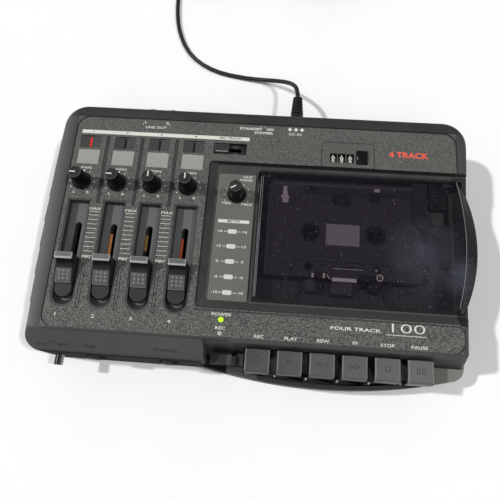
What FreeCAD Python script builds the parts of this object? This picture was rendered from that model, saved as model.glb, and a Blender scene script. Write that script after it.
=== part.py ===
import FreeCAD, Part
import math
import os
import Sketcher
from FreeCAD import Placement, Rotation, Vector

# Four track cassette recorder, millimetres. The origin lies on the table under the middle of
# the recorder: +X to the right, +Y to the back, +Z up. The panel is the flat top of the case.

SIZES = {
    # heights above the table
    "foot_height": 2.5,
    "floor_thick": 2.5,
    "seam_z": 21.0,
    "panel_z": 48.0,
    # outline of the case, each side measured from the middle
    "case_back": 87.3,
    "case_front": 84.8,
    "left_back": 139.4,
    "left_front": 138.4,
    "left_bow_radius": 1480.0,
    "right_back": 136.9,
    "right_seam_front": 137.3,
    "right_panel_front": 131.0,
    "right_bow_radius": 3000.0,
    "back_corner_radius": 16.0,
    "front_corner_radius": 11.0,
    "rim_radius": 4.5,
    "floor_edge_radius": 1.5,
    "case_wall": 2.5,
    "corner_cut": 12.8,
    # tray that swells out under the keys
    "tray_start": 31.0,
    "tray_end_front": 81.8,
    "tray_bow_radius": 335.0,
    "tray_corner_radius": 9.0,
    "tray_rim": 2.6,
    # sloping front of the panel
    "panel_front": 71.5,
    "apron_run": 11.8,
    "apron_drop": 6.0,
    "key_wall_run": 4.3,
    "key_wall_inside": 67.5,
    "bay_left": 27.0,
    "bay_corner_radius": 3.0,
    # groove round the textured field
    "field_half_width": 130.0,
    "field_back": 78.1,
    "field_front": 70.9,
    "field_corner_radius": 9.0,
    "field_inner_corner_radius": 5.0,
    "field_inner_front": 52.9,
    "groove_width": 1.0,
    "groove_depth": 0.7,
    # step down to the deck
    "step_depth": 5.0,
    "step_left": 29.5,
    "step_left_run": 5.5,
    "step_front": 46.5,
    "step_front_run": 5.7,
    "step_back": 48.5,
    "step_corner": 2.4,
    "roof_thick": 9.7,
    "light_roof": 3.0,
    # deck opening in the step
    "deck_left": 2.0,
    "deck_right": 125.0,
    "deck_front": 43.0,
    "deck_corner_radius": 2.0,
    "hinge_slot_front": 36.4,
    "hinge_slot_back": 44.7,
    "hinge_slot_left": 1.6,
    "hinge_slot_right": 133.6,
    # cassette lid
    "lid_left": 0.5,
    "lid_front": 45.5,
    "lid_back": 42.8,
    "lid_right_front": 131.0,
    "lid_right_back": 132.5,
    "lid_bow_radius": 103.9,
    "lid_height": 7.2,
    "lid_gap": 0.3,
    "lid_draft": 0.6,
    "lid_rake": 4.2,
    "lid_top_bow_radius": 166.4,
    "lid_wall": 2.0,
    "lid_edge": 0.8,
    "hinge_y": 40.0,
    "hinge_z": 46.0,
    "hinge_pin_radius": 1.0,
    "hinge_lug_radius": 2.3,
    "hinge_lug_width": 3.0,
    "hinge_ear_width": 1.5,
    "hinge_ear_half_depth": 2.0,
    "hinge_gap": 0.4,
    # fader channels
    "channel_pitch": 23.9,
    "channel_count": 4,
    "fader_x": 118.7,
    "well_width": 13.5,
    "well_back": 14.5,
    "well_front": 56.5,
    "well_depth": 6.0,
    "well_rim": 1.1,
    "well_rim_depth": 0.35,
    "well_scoop": 4.2,
    "well_scoop_facets": 12,
    "slot_width": 4.5,
    "slot_back": 0.9,
    "slot_front": 36.0,
    "fader_rest_y": 38.0,
    "fader_travel": 30.0,
    "fader_length": 27.0,
    "fader_width": 10.8,
    "fader_height": 10.0,
    "fader_floor_gap": 1.4,
    "fader_toe": 1.0,
    "fader_bar": 3.2,
    "fader_bar_lean": 1.2,
    "fader_bar_drop": 1.6,
    "fader_thumb_radius": 16.0,
    "fader_tongue_radius": 20.0,
    "fader_lever_offset": 6.5,
    "fader_lever_width": 1.4,
    "fader_lever_depth": 4.0,
    "fader_lever_reach": 17.0,
    "slide_pot_width": 9.0,
    "slide_pot_height": 9.0,
    "slide_pot_margin": 2.0,
    # engraved dividers between the channels
    "divider_width": 2.2,
    "divider_line": 0.4,
    "divider_depth": 0.5,
    "rear_divider_x": 106.5,
    "rear_divider_front": 12.6,
    "rear_divider_back": 63.0,
    "front_divider_x": 108.3,
    "front_divider_front": 58.0,
    "front_divider_back": 29.3,
    # rotary knobs
    "pan_x": 119.3,
    "pan_y": 27.9,
    "level_x": 15.0,
    "level_y": 26.0,
    "knob_base_radius": 6.3,
    "knob_top_radius": 3.9,
    "knob_height": 15.2,
    "knob_skirt_height": 2.6,
    "knob_flutes": 16,
    "knob_flute_depth": 0.7,
    "knob_flute_half": 1.0,
    "knob_gap": 0.4,
    "knob_stem_radius": 3.0,
    "knob_stem_reach": 4.6,
    "knob_crown": 0.8,
    "rotary_pot_side": 11.0,
    "rotary_pot_height": 7.5,
    # running and seating clearances
    "running_gap": 0.05,
    "seat_gap": 0.1,
    "free_gap": 0.4,
    # record tiles and write-on labels
    "tile_x": 118.4,
    "tile_pitch": 23.85,
    "tile_width": 14.0,
    "tile_front": 53.6,
    "tile_depth": 9.0,
    "tile_height": 1.0,
    "tile_seat": 2.2,
    "tile_notch": 1.1,
    "tile_lamp_width": 1.1,
    "tile_lamp_length": 7.2,
    "label_x": 118.2,
    "label_width": 14.6,
    "label_depth": 10.9,
    "label_front": 41.0,
    "label_thick": 0.4,
    "label_seat": 0.3,
    # track selector
    "selector_left": 33.0,
    "selector_right": 10.8,
    "selector_front": 53.8,
    "selector_depth": 8.2,
    "selector_recess": 2.5,
    "selector_knob_length": 10.2,
    "selector_knob_height": 5.0,
    "selector_travel": 10.5,
    "selector_margin": 0.5,
    "selector_stem_length": 4.0,
    "selector_stem_width": 2.0,
    # meter strip
    "meter_left": 28.0,
    "meter_right": 3.0,
    "meter_front": 46.1,
    "meter_back": 41.0,
    "meter_thick": 1.2,
    "meter_lamp_x": 15.9,
    "meter_lamp_first": 0.1,
    "meter_lamp_pitch": 10.2,
    "meter_lamp_count": 5,
    "meter_lamp_length": 6.2,
    "meter_lamp_width": 3.0,
    "meter_lamp_proud": 0.3,
    # signal lamps
    "lamp_x": 17.7,
    "power_lamp_y": 58.8,
    "rec_lamp_y": 67.2,
    "power_lamp_radius": 1.7,
    "rec_lamp_radius": 1.5,
    "lamp_proud": 0.7,
    # counter
    "counter_left": 40.0,
    "counter_right": 75.0,
    "counter_front": 48.5,
    "counter_back": 67.0,
    "counter_flange": 0.9,
    "counter_seat": 0.7,
    "counter_lip": 1.6,
    "counter_box_depth": 15.0,
    "counter_wall": 1.0,
    "counter_window_left": 45.6,
    "counter_window_width": 16.0,
    "counter_window_front": 51.9,
    "counter_window_depth": 6.6,
    "wheel_radius": 4.0,
    "wheel_width": 4.9,
    "wheel_pitch": 5.7,
    "wheel_first_x": 47.8,
    "wheel_y": 55.5,
    "wheel_z": 43.2,
    "wheel_axle_radius": 0.8,
    "reset_left": 63.6,
    "reset_width": 6.7,
    "reset_front": 51.4,
    "reset_depth": 9.4,
    "reset_proud": 1.4,
    "reset_height": 9.0,
    # cassette
    "cassette_x": 56.3,
    "cassette_front": 26.5,
    "cassette_width": 100.4,
    "cassette_depth": 63.8,
    "cassette_thick": 8.7,
    "cassette_nose_thick": 12.0,
    "cassette_nose_back": 14.5,
    "cassette_nose_top_width": 61.5,
    "cassette_nose_width": 66.1,
    "cassette_wall": 1.2,
    "cassette_corner": 2.0,
    "hub_spacing": 42.5,
    "hub_y": 4.15,
    "hub_hole_radius": 5.5,
    "hub_inner_radius": 5.0,
    "hub_outer_radius": 11.0,
    "hub_tooth": 1.0,
    "tape_width": 3.8,
    "supply_pack_radius": 21.0,
    "takeup_pack_radius": 16.5,
    "window_width": 21.8,
    "window_front": 3.9,
    "window_depth": 14.7,
    "head_bay_width": 22.0,
    "erase_bay_width": 11.0,
    "roller_bay_width": 13.0,
    "head_bay_depth": 7.2,
    # deck
    "deck_top": 30.0,
    "deck_thick": 1.5,
    "plate_left": 6.0,
    "plate_right": 128.8,
    "plate_front": 46.0,
    "plate_back": 50.0,
    "plate_boss_front": 42.0,
    "plate_boss_back": 46.9,
    "plate_boss_left": 2.3,
    "plate_boss_right": 127.2,
    "plate_boss_radius": 2.2,
    "plate_corner_radius": 4.0,
    "plate_screw_radius": 1.0,
    "plate_screw_length": 7.0,
    "reel_table_drop": 2.5,
    "reel_table_thick": 2.0,
    "spindle_fins": 3,
    "hub_teeth": 6,
    "tape_gap": 0.2,
    "capstan_tail": 1.0,
    "spindle_radius": 2.0,
    "spindle_crown_radius": 3.2,
    "spindle_fin_radius": 3.8,
    "reel_table_radius": 13.0,
    "capstan_offset": 21.8,
    "capstan_y": 19.5,
    "capstan_radius": 1.2,
    "capstan_top": 41.0,
    "flywheel_radius": 22.0,
    "flywheel_low": 7.5,
    "flywheel_high": 13.5,
    "belt_low": 9.2,
    "belt_high": 11.6,
    "belt_thick": 0.8,
    "groove_cut": 1.2,
    "motor_x": 112.0,
    "motor_y": 22.0,
    "motor_radius": 15.0,
    "motor_low": 15.0,
    "motor_shaft_reach": 6.0,
    "pulley_radius": 4.5,
    # head carriage
    "head_plate_left": 24.0,
    "head_plate_right": 90.0,
    "head_plate_front": 42.0,
    "head_plate_back": 31.0,
    "head_plate_thick": 1.2,
    "head_plate_gap": 0.3,
    "head_travel": 4.0,
    "guide_pin_radius": 1.5,
    "guide_left": 29.0,
    "guide_right": 86.0,
    "guide_y": 34.6,
    "record_head_width": 13.0,
    "record_head_depth": 9.2,
    "record_head_height": 8.8,
    "erase_head_x": 36.5,
    "erase_head_width": 6.0,
    "erase_head_depth": 8.0,
    "erase_head_height": 7.5,
    "head_tip_y": 27.3,
    "arm_thick": 0.8,
    "roller_radius": 4.5,
    "roller_height": 7.0,
    "roller_pin_radius": 1.0,
    "roller_rest_y": 29.6,
    # keys
    "key_first_x": 5.95,
    "key_pitch": 19.92,
    "key_width": 15.4,
    "key_top": 39.0,
    "key_back": 74.1,
    "key_face": 88.4,
    "key_skirt_bottom": 28.0,
    "key_thick": 2.0,
    "key_fold_radius": 2.6,
    "key_side_radius": 0.7,
    "key_lever_width": 5.0,
    "key_boss_width": 9.0,
    "key_boss_radius": 4.0,
    "pivot_y": 52.0,
    "pivot_z": 27.0,
    "pivot_radius": 1.5,
    "bay_right": 114.8,
    "bay_inner_left": 3.2,
    "key_window_top": 36.4,
    "pivot_post_thick": 2.4,
    "pivot_post_depth": 8.0,
    "pivot_post_top": 30.6,
    "filler_left": 23.6,
    "filler_right": 10.2,
    "filler_top": 33.0,
    "filler_step_top": 27.0,
    "filler_back": 78.2,
    # joining screws
    "screw_radius": 1.5,
    "screw_head_radius": 2.8,
    "screw_head_thick": 2.2,
    "screw_length": 27.0,
    "boss_radius": 4.2,
    "boss_side_x": 126.0,
    "boss_back_y": 70.0,
    "boss_front_left_y": 68.0,
    "boss_front_right_y": 62.0,
    "boss_middle_x": 33.5,
    "boss_middle_y": 62.0,
    "screw_recess": 3.0,
    # feet
    "foot_radius": 7.0,
    "foot_x": 118.0,
    "foot_back_y": 66.0,
    "foot_front_y": 64.0,
    # board
    "board_left": 119.0,
    "board_right": 8.0,
    "board_front": 50.0,
    "board_back": 78.0,
    "board_thick": 1.6,
    "board_post": 3.0,
    "board_post_radius": 3.0,
    # rear panel
    "rear_z": 31.0,
    "line_jack_x": 82.0,
    "line_jack_pitch": 14.5,
    "line_jack_radius": 4.15,
    "line_jack_body_radius": 5.0,
    "line_jack_length": 6.5,
    "line_jack_reach": 15.0,
    "line_jack_hole_radius": 1.7,
    "switch_knob_width": 4.0,
    "switch_knob_height": 3.0,
    "switch_knob_proud": 2.0,
    "switch_travel": 4.0,
    "switch_flange": 2.0,
    "dc_x": 22.4,
    "dc_socket_side": 11.0,
    "dc_socket_reach": 15.0,
    "dc_socket_radius": 2.8,
    "dc_mouth_radius": 5.2,
    # front edge
    "trim_x": 121.5,
    "trim_z": 27.0,
    "trim_radius": 2.9,
    "trim_length": 6.5,
    "front_jack_z": 30.0,
    "input_jack_x": 97.0,
    "phones_jack_x": 50.0,
    "phone_jack_radius": 3.25,
    "phone_sleeve_radius": 4.6,
    "phone_nut_radius": 6.0,
    "phone_nut_thick": 1.8,
    "phone_jack_reach": 26.0,
    # power lead
    "plug_radius": 4.75,
    "plug_end_radius": 3.4,
    "plug_length": 24.0,
    "plug_grip": 9.0,
    "plug_barrel_length": 10.0,
    "plug_stand_off": 0.3,
    "plug_rib": 0.5,
    "cord_radius": 1.65,
    "coil_mid_radius": 19.8,
    "coil_width": 10.0,
    "coil_height": 13.4,
    "adapter_length": 62.0,
    "adapter_width": 46.0,
    "adapter_height": 34.0,
    "adapter_edge": 3.0,
    "adapter_relief_length": 16.0,
    "adapter_relief_radius": 3.2,
    "prong_length": 17.0,
    "prong_width": 6.3,
    "prong_thick": 1.5,
    "prong_spacing": 12.7,
}

doc = FreeCAD.newDocument("cassette_recorder")
sheet = doc.addObject("Spreadsheet::Sheet", "Sizes")
PARTS = []


def formula(number):
    """The sheet formula of a size, or the plain number."""
    return number.formula if isinstance(number, Size) else repr(float(number))


class Size(float):
    """A number that remembers the sheet formula it was worked out from."""

    def __new__(cls, number, text):
        size = super().__new__(cls, number)
        size.formula = text
        return size

    def __add__(self, other):
        return Size(float(self) + float(other), f"({self.formula} + {formula(other)})")

    def __radd__(self, other):
        return Size(float(other) + float(self), f"({formula(other)} + {self.formula})")

    def __sub__(self, other):
        return Size(float(self) - float(other), f"({self.formula} - {formula(other)})")

    def __rsub__(self, other):
        return Size(float(other) - float(self), f"({formula(other)} - {self.formula})")

    def __mul__(self, other):
        return Size(float(self) * float(other), f"({self.formula} * {formula(other)})")

    def __rmul__(self, other):
        return Size(float(other) * float(self), f"({formula(other)} * {self.formula})")

    def __truediv__(self, other):
        return Size(float(self) / float(other), f"({self.formula} / {formula(other)})")

    def __neg__(self):
        return Size(-float(self), f"(-{self.formula})")


def root(number):
    return Size(math.sqrt(number), f"sqrt({formula(number)})")


class Sizes:
    """Every driving size by name, each one a cell of the sheet."""

    def __init__(self, values):
        for row, (name, value) in enumerate(values.items(), start=1):
            sheet.set(f"A{row}", name)
            sheet.set(f"B{row}", str(value))
            sheet.setAlias(f"B{row}", name)
            setattr(self, name, Size(value, f"Sizes.{name}"))


S = Sizes(SIZES)
doc.recompute()


# ---------------------------------------------------------------- sizes worked out from others

seam, panel = S.seam_z, S.panel_z
floor_top = S.foot_height + S.floor_thick
roof = panel - S.roof_thick
light_roof = panel - S.light_roof
step_z = panel - S.step_depth
deck_low = S.deck_top - S.deck_thick
head_plate_low = S.deck_top + S.head_plate_gap
head_plate_top = head_plate_low + S.head_plate_thick
cassette_low = S.deck_top
cassette_mid = cassette_low + S.cassette_nose_thick / 2
shell_low = cassette_mid - S.cassette_thick / 2
shell_top = cassette_mid + S.cassette_thick / 2
capstan_x = S.cassette_x + S.capstan_offset
inner_back = S.case_back - S.case_wall
inner_front = S.case_front - S.case_wall
meter_top = step_z + S.meter_thick
TOP_BOSSES = [
    (-S.boss_side_x, S.boss_back_y),
    (S.boss_side_x, S.boss_back_y),
    (-S.boss_side_x, -S.boss_front_left_y),
    (S.boss_side_x, -S.boss_front_right_y),
    (-S.boss_middle_x, -S.boss_middle_y),
]
PLATE_BOSSES = [
    (-S.plate_boss_left, -S.plate_boss_front),
    (-S.plate_boss_left, S.plate_boss_back),
    (S.plate_boss_right, -S.plate_boss_front),
    (S.plate_boss_right, S.plate_boss_back),
]
HUBS = {
    "supply": (S.cassette_x - S.hub_spacing / 2, S.hub_y),
    "takeup": (S.cassette_x + S.hub_spacing / 2, S.hub_y),
}


# ---------------------------------------------------------------- helpers

def bind(thing, **sizes):
    """Sets properties and ties each one to its formula in the sheet."""
    for name, size in sizes.items():
        setattr(thing, name, float(size))
        if isinstance(size, Size):
            thing.setExpression(name, size.formula)


def place(thing, x=0.0, y=0.0, z=0.0, axis=(0, 0, 1), angle=0.0):
    """Puts a piece at a point, turned about an axis."""
    thing.Placement = Placement(Vector(x, y, z), Rotation(Vector(*axis), float(angle)))
    for letter, size in zip("xyz", (x, y, z)):
        if isinstance(size, Size):
            thing.setExpression(f"Placement.Base.{letter}", size.formula)
    return thing


def node(name, thing):
    """Registers a finished sub-part under the name of its file."""
    thing.Label = name
    PARTS.append(thing)
    return thing


class Sketch:
    """A sketch whose points and radii are all held by the sheet."""

    def __init__(self, body, name, plane, level):
        self.made = body.newObject("Sketcher::SketchObject", name)
        origin = next(f for f in body.Origin.OriginFeatures if f.Role == plane)
        self.made.AttachmentSupport = [(origin, "")]
        self.made.MapMode = "FlatFace"
        self.made.AttachmentOffset = Placement(Vector(0, 0, level), Rotation())
        if isinstance(level, Size):
            self.made.setExpression("AttachmentOffset.Base.z", level.formula)

    def hold(self, kind, *where, size):
        """Adds one constraint and ties its value to the sheet."""
        index = self.made.addConstraint(Sketcher.Constraint(kind, *where, float(size)))
        if isinstance(size, Size):
            self.made.setExpression(f"Constraints[{index}]", size.formula)

    def pin(self, shape, point, x, y):
        """Holds one point of a shape at x, y."""
        self.hold("DistanceX", -1, 1, shape, point, size=x)
        self.hold("DistanceY", -1, 1, shape, point, size=y)

    def circle(self, x, y, radius):
        made = self.made.addGeometry(Part.Circle(Vector(x, y, 0), Vector(0, 0, 1), float(radius)))
        self.pin(made, 3, x, y)
        self.hold("Radius", made, size=radius)
        return self

    def outline(self, corners):
        """A closed outline. A third number bends the side after its corner: the radius of an
        arc that bulges to the right of the way of travel, or to the left if negative."""
        sides = []
        for here, there in zip(corners, corners[1:] + corners[:1]):
            start, end = Vector(*here[:2], 0), Vector(*there[:2], 0)
            bend = here[2] if len(here) > 2 else 0.0
            sides.append(self._side(start, end, bend))
        for number, (side, first, last) in enumerate(sides):
            following, next_first, _ = sides[(number + 1) % len(sides)]
            self.made.addConstraint(
                Sketcher.Constraint("Coincident", side, last, following, next_first))
            self.pin(side, first, *corners[number][:2])
        return self

    def _side(self, start, end, bend):
        if not bend:
            return self.made.addGeometry(Part.LineSegment(start, end)), 1, 2
        radius = abs(bend)
        half = (end - start) * 0.5
        left = Vector(-half.y, half.x, 0).normalize()
        rise = math.sqrt(radius ** 2 - half.Length ** 2)
        centre = start + half + left * (rise if bend > 0 else -rise)
        first, last = (start, end) if bend > 0 else (end, start)
        angles = [math.atan2(p.y - centre.y, p.x - centre.x) for p in (first, last)]
        circle = Part.Circle(centre, Vector(0, 0, 1), float(radius))
        made = self.made.addGeometry(Part.ArcOfCircle(circle, *angles))
        signed = bend if bend > 0 else -bend
        self.hold("Radius", made, size=signed)
        return (made, 1, 2) if bend > 0 else (made, 2, 1)

    def rectangle(self, left, right, low, high):
        return self.outline([(left, low), (right, low), (right, high), (left, high)])

    def rounded(self, left, right, low, high, radius):
        """An upright rectangle with round corners."""
        middles = [(right - radius, low + radius), (right - radius, high - radius),
                   (left + radius, high - radius), (left + radius, low + radius)]
        turns = [(-90, 0), (0, 90), (90, 180), (180, 270)]
        arcs = []
        for (x, y), (first, last) in zip(middles, turns):
            circle = Part.Circle(Vector(x, y, 0), Vector(0, 0, 1), float(radius))
            arc = Part.ArcOfCircle(circle, math.radians(first), math.radians(last))
            arcs.append((self.made.addGeometry(arc), arc))
            self.pin(arcs[-1][0], 3, x, y)
            self.hold("Radius", arcs[-1][0], size=radius)
        for (made, arc), (following, next_arc) in zip(arcs, arcs[1:] + arcs[:1]):
            line = self.made.addGeometry(Part.LineSegment(arc.EndPoint, next_arc.StartPoint))
            self.made.addConstraint(Sketcher.Constraint("Tangent", made, 2, line, 1))
            self.made.addConstraint(Sketcher.Constraint("Tangent", line, 2, following, 1))
        return self

    def stadium(self, x, low, high, radius):
        """A slot along y with two round ends at low and high."""
        arcs = []
        for y, first, last in ((high - radius, 0, 180), (low + radius, 180, 360)):
            circle = Part.Circle(Vector(x, y, 0), Vector(0, 0, 1), float(radius))
            arc = Part.ArcOfCircle(circle, math.radians(first), math.radians(last))
            arcs.append((self.made.addGeometry(arc), arc))
            self.pin(arcs[-1][0], 3, x, y)
            self.hold("Radius", arcs[-1][0], size=radius)
        for (made, arc), (following, next_arc) in zip(arcs, arcs[::-1]):
            line = self.made.addGeometry(Part.LineSegment(arc.EndPoint, next_arc.StartPoint))
            self.made.addConstraint(Sketcher.Constraint("Tangent", made, 2, line, 1))
            self.made.addConstraint(Sketcher.Constraint("Tangent", line, 2, following, 1))
        return self

    def arch(self, x, low, high, radius):
        """A slot along y with a round low end and a square high end."""
        circle = Part.Circle(Vector(x, low + radius, 0), Vector(0, 0, 1), float(radius))
        bow = self.made.addGeometry(Part.ArcOfCircle(circle, math.pi, 2 * math.pi))
        self.pin(bow, 3, x, low + radius)
        self.hold("Radius", bow, size=radius)
        points = [Vector(x + radius, low + radius, 0), Vector(x + radius, high, 0),
                  Vector(x - radius, high, 0), Vector(x - radius, low + radius, 0)]
        right, top, left = [self.made.addGeometry(Part.LineSegment(a, b))
                            for a, b in zip(points, points[1:])]
        self.made.addConstraint([
            Sketcher.Constraint("Tangent", bow, 2, right, 1),
            Sketcher.Constraint("Coincident", right, 2, top, 1),
            Sketcher.Constraint("Coincident", top, 2, left, 1),
            Sketcher.Constraint("Tangent", left, 2, bow, 1),
            Sketcher.Constraint("Vertical", right),
            Sketcher.Constraint("Vertical", left)])
        self.hold("DistanceY", -1, 1, top, 1, size=high)
        self.hold("DistanceY", -1, 1, top, 2, size=high)
        return self


class Solid:
    """A PartDesign body built up feature by feature."""

    def __init__(self, name):
        self.name = name
        self.body = doc.addObject("PartDesign::Body", name)
        doc.recompute()

    def sketch(self, name, level=0.0, plane="XY_Plane"):
        return Sketch(self.body, f"{self.name}_{name}", plane, level)

    def feature(self, kind, name, sketch, **settings):
        made = self.body.newObject(f"PartDesign::{kind}", f"{self.name}_{name}")
        if sketch is not None:
            made.Profile = sketch.made
            sketch.made.Visibility = False
        for key, value in settings.items():
            if isinstance(value, Size):
                bind(made, **{key: value})
            else:
                setattr(made, key, value)
        self.body.Tip = made
        return made

    def pad(self, name, sketch, length, **settings):
        return self.feature("Pad", name, sketch, Length=length, **settings)

    def pocket(self, name, sketch, depth, **settings):
        """Cuts to a depth; with Reversed the cut runs along the sketch's own normal."""
        return self.feature("Pocket", name, sketch, Length=depth, **settings)

    def cut_through(self, name, sketch):
        return self.feature("Pocket", name, sketch, Type="ThroughAll", SideType="Symmetric")

    def turn(self, name, sketch, axis="V_Axis", cut=False):
        """Revolves a profile about an axis of its own sketch."""
        kind = "Groove" if cut else "Revolution"
        made = self.feature(kind, name, sketch, Angle=360.0)
        made.ReferenceAxis = (sketch.made, [axis])
        return made

    def loft(self, name, first, *others, cut=False):
        made = self.feature("SubtractiveLoft" if cut else "AdditiveLoft", name, first)
        made.Sections = [other.made for other in others]
        made.Ruled = True
        for other in others:
            other.made.Visibility = False
        return made

    def axis(self, role):
        return (next(f for f in self.body.Origin.OriginFeatures if f.Role == role), [""])

    def row(self, name, originals, role, length, count):
        """Repeats features in a straight row."""
        made = self.body.newObject("PartDesign::LinearPattern", f"{self.name}_{name}")
        made.Originals = originals
        made.Direction = self.axis(role)
        bind(made, Length=length)
        made.Occurrences = int(count)
        self.body.Tip = made
        return made

    def ring(self, name, originals, role, count):
        """Repeats features round an axis of the body."""
        made = self.body.newObject("PartDesign::PolarPattern", f"{self.name}_{name}")
        made.Originals = originals
        made.Axis = self.axis(role)
        made.Angle = 360.0
        made.Occurrences = int(count)
        self.body.Tip = made
        return made

    def soften(self, name, radius, chosen, kind="Fillet"):
        """Fillets or chamfers the edges that a test picks out."""
        doc.recompute()
        base = self.body.Tip
        names = [f"Edge{i}" for i, edge in enumerate(base.Shape.Edges, start=1) if chosen(edge)]
        if not names:
            raise ValueError(f"{self.name}_{name}: no edge to soften")
        made = self.body.newObject(f"PartDesign::{kind}", f"{self.name}_{name}")
        made.Base = (base, names)
        bind(made, **{"Radius" if kind == "Fillet" else "Size": radius})
        self.body.Tip = made
        doc.recompute()
        return made

    def finish(self):
        self.body.Tip.Visibility = True
        return node(self.name, self.body)


def ends(edge):
    return edge.Vertexes[0].Point, edge.Vertexes[-1].Point


def upright_at(*places, reach=0.6):
    """Picks upright edges that stand at one of the given x, y places."""
    def near(point):
        return any(math.hypot(point.x - x, point.y - y) < reach for x, y in places)

    def chosen(edge):
        low, high = ends(edge)
        return abs(low.z - high.z) > 0.5 and near(low) and near(high)
    return chosen


def level_at(z, test=lambda p: True):
    """Picks edges that lie at one height and whose middle passes a test."""
    def chosen(edge):
        if any(abs(v.Point.z - z) > 0.01 for v in edge.Vertexes):
            return False
        middle = edge.valueAt((edge.FirstParameter + edge.LastParameter) / 2)
        return edge.BoundBox.ZLength < 0.01 and test(middle)
    return chosen


def box(name, x, y, z):
    """A block given by its low and high limits along each axis."""
    made = doc.addObject("Part::Box", name)
    bind(made, Length=x[1] - x[0], Width=y[1] - y[0], Height=z[1] - z[0])
    return place(made, x[0], y[0], z[0])


def rod(name, radius, start, length, along="z"):
    """A cylinder that starts at a point and runs along one axis."""
    made = doc.addObject("Part::Cylinder", name)
    bind(made, Radius=radius, Height=length)
    axis, angle = {"z": ((0, 0, 1), 0), "y": ((1, 0, 0), -90), "x": ((0, 1, 0), 90)}[along]
    return place(made, *start, axis=axis, angle=angle)


def fuse(name, *pieces):
    made = doc.addObject("Part::MultiFuse", name)
    made.Shapes = list(pieces)
    return made


def cut(name, base, *tools):
    made = doc.addObject("Part::Cut", name)
    made.Base = base
    made.Tool = tools[0] if len(tools) == 1 else fuse(f"{name}_tools", *tools)
    return made


def group(name, *pieces):
    made = doc.addObject("Part::Compound", name)
    made.Links = list(pieces)
    return made


def eased(name, base, radius, chosen, kind="Part::Fillet"):
    """Rounds or bevels chosen edges of a primitive shape."""
    doc.recompute()
    made = doc.addObject(kind, name)
    made.Base = base
    made.Edges = [(i, float(radius), float(radius))
                  for i, edge in enumerate(base.Shape.Edges, start=1) if chosen(edge)]
    return made


def channel(number, first, pitch=None):
    """Place across the panel of one of the four channels, counted from the left."""
    return -first + number * (pitch or S.channel_pitch)


# ---------------------------------------------------------------- case

def inner_outline():
    """The hollow of the case: its corners are cut to stay inside the round outer ones."""
    c = S.corner_cut
    left, right = S.left_front - S.case_wall, S.right_back - 1.2 * S.case_wall
    right_front = S.right_panel_front - S.case_wall
    return [
        (right_front, -S.key_wall_inside),
        (right, inner_back - c),
        (right - c, inner_back),
        (-left + c, inner_back),
        (-left, inner_back - c),
        (-left, -inner_front + 0.7 * c),
        (-left + 0.7 * c, -inner_front),
        (-S.bay_left - S.case_wall, -inner_front),
        (-S.bay_left - S.case_wall, -S.key_wall_inside),
    ]


def top_case():
    case = Solid("top_case")
    case_shell(case)
    case_rim(case)
    case_step(case)
    case_channels(case)
    case_seats(case)
    case_hollow(case)
    case_walls(case)
    case.finish()


def case_shell(case):
    """Outside of the upper case, up to the panel, with the keys' bay cut away."""
    outline = case.sketch("outline", seam).outline([
        (S.right_seam_front, -S.case_front, S.right_bow_radius),
        (S.right_back, S.case_back),
        (-S.left_back, S.case_back, S.left_bow_radius),
        (-S.left_front, -S.case_front)])
    case.pad("shell", outline, panel - seam)
    case.soften("back_corners", S.back_corner_radius, upright_at(
        (S.right_back, S.case_back), (-S.left_back, S.case_back)))
    case.soften("front_corner", S.front_corner_radius, upright_at((-S.left_front, -S.case_front)))
    right_rake(case)
    case.soften("shoulder", S.rim_radius, level_at(panel))
    bulge(case)
    wall_foot = S.panel_front + S.key_wall_run
    bay = case.sketch("bay", -S.bay_left, "YZ_Plane").outline([
        (-2 * S.case_front, seam - 1), (-wall_foot - S.key_wall_run / (panel - seam), seam - 1),
        (-S.panel_front, panel), (-S.panel_front, panel + 1), (-2 * S.case_front, panel + 1)])
    case.pocket("bay_cut", bay, 2 * S.right_back, Reversed=True)
    case.soften("bay_corner", S.bay_corner_radius, upright_at((-S.bay_left, -S.case_front)))
    case.soften("right_corner", S.rim_radius * 0.75, right_front_edge)


def right_rake(case):
    """The right side leans in towards the panel, most of all in front."""
    def section(name, y, foot, head):
        return case.sketch(name, -y, "XZ_Plane").outline([
            (foot, seam), (2 * S.right_back, seam), (2 * S.right_back, panel), (head, panel)])
    case.loft("rake",
              section("rake_front", -S.case_front - 1, S.right_seam_front, S.right_panel_front),
              section("rake_back", S.case_back, S.right_back + 2, S.right_back + 1), cut=True)


def right_front_edge(edge):
    """The sloping edge where the keys' wall meets the right side."""
    low, high = ends(edge)
    return (min(low.x, high.x) > S.right_panel_front - 3 and max(low.y, high.y) < -S.panel_front + 1
            and abs(low.z - high.z) > (panel - seam) * 0.6)


def bulge(case):
    """The right side swells out to carry the edge of the lid."""
    inside = S.lid_right_front - 12
    low = case.sketch("bulge_low", seam).outline([
        (inside, -S.lid_front), (S.lid_right_front, -S.lid_front, 6 * S.lid_bow_radius),
        (S.lid_right_back, S.lid_back), (inside, S.lid_back)])
    high = case.sketch("bulge_high", step_z).outline([
        (inside, -S.lid_front), (S.lid_right_front, -S.lid_front, S.lid_bow_radius),
        (S.lid_right_back, S.lid_back), (inside, S.lid_back)])
    case.loft("bulge", low, high)


def case_rim(case):
    """The sloping apron in front and the groove round the panel's field."""
    apron_foot = S.panel_front + S.apron_run
    apron = case.sketch("apron", 0, "YZ_Plane").outline([
        (-S.panel_front, panel), (-S.panel_front, panel + 1),
        (-2 * S.case_front, panel + 1), (-2 * S.case_front, panel - S.apron_drop),
        (-apron_foot, panel - S.apron_drop)])
    case.cut_through("apron_cut", apron)
    w = S.groove_width
    groove = case.sketch("groove", panel).outline(field_line(0.0) + field_line(w)[::-1])
    case.pocket("groove_cut", groove, S.groove_depth)


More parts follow.
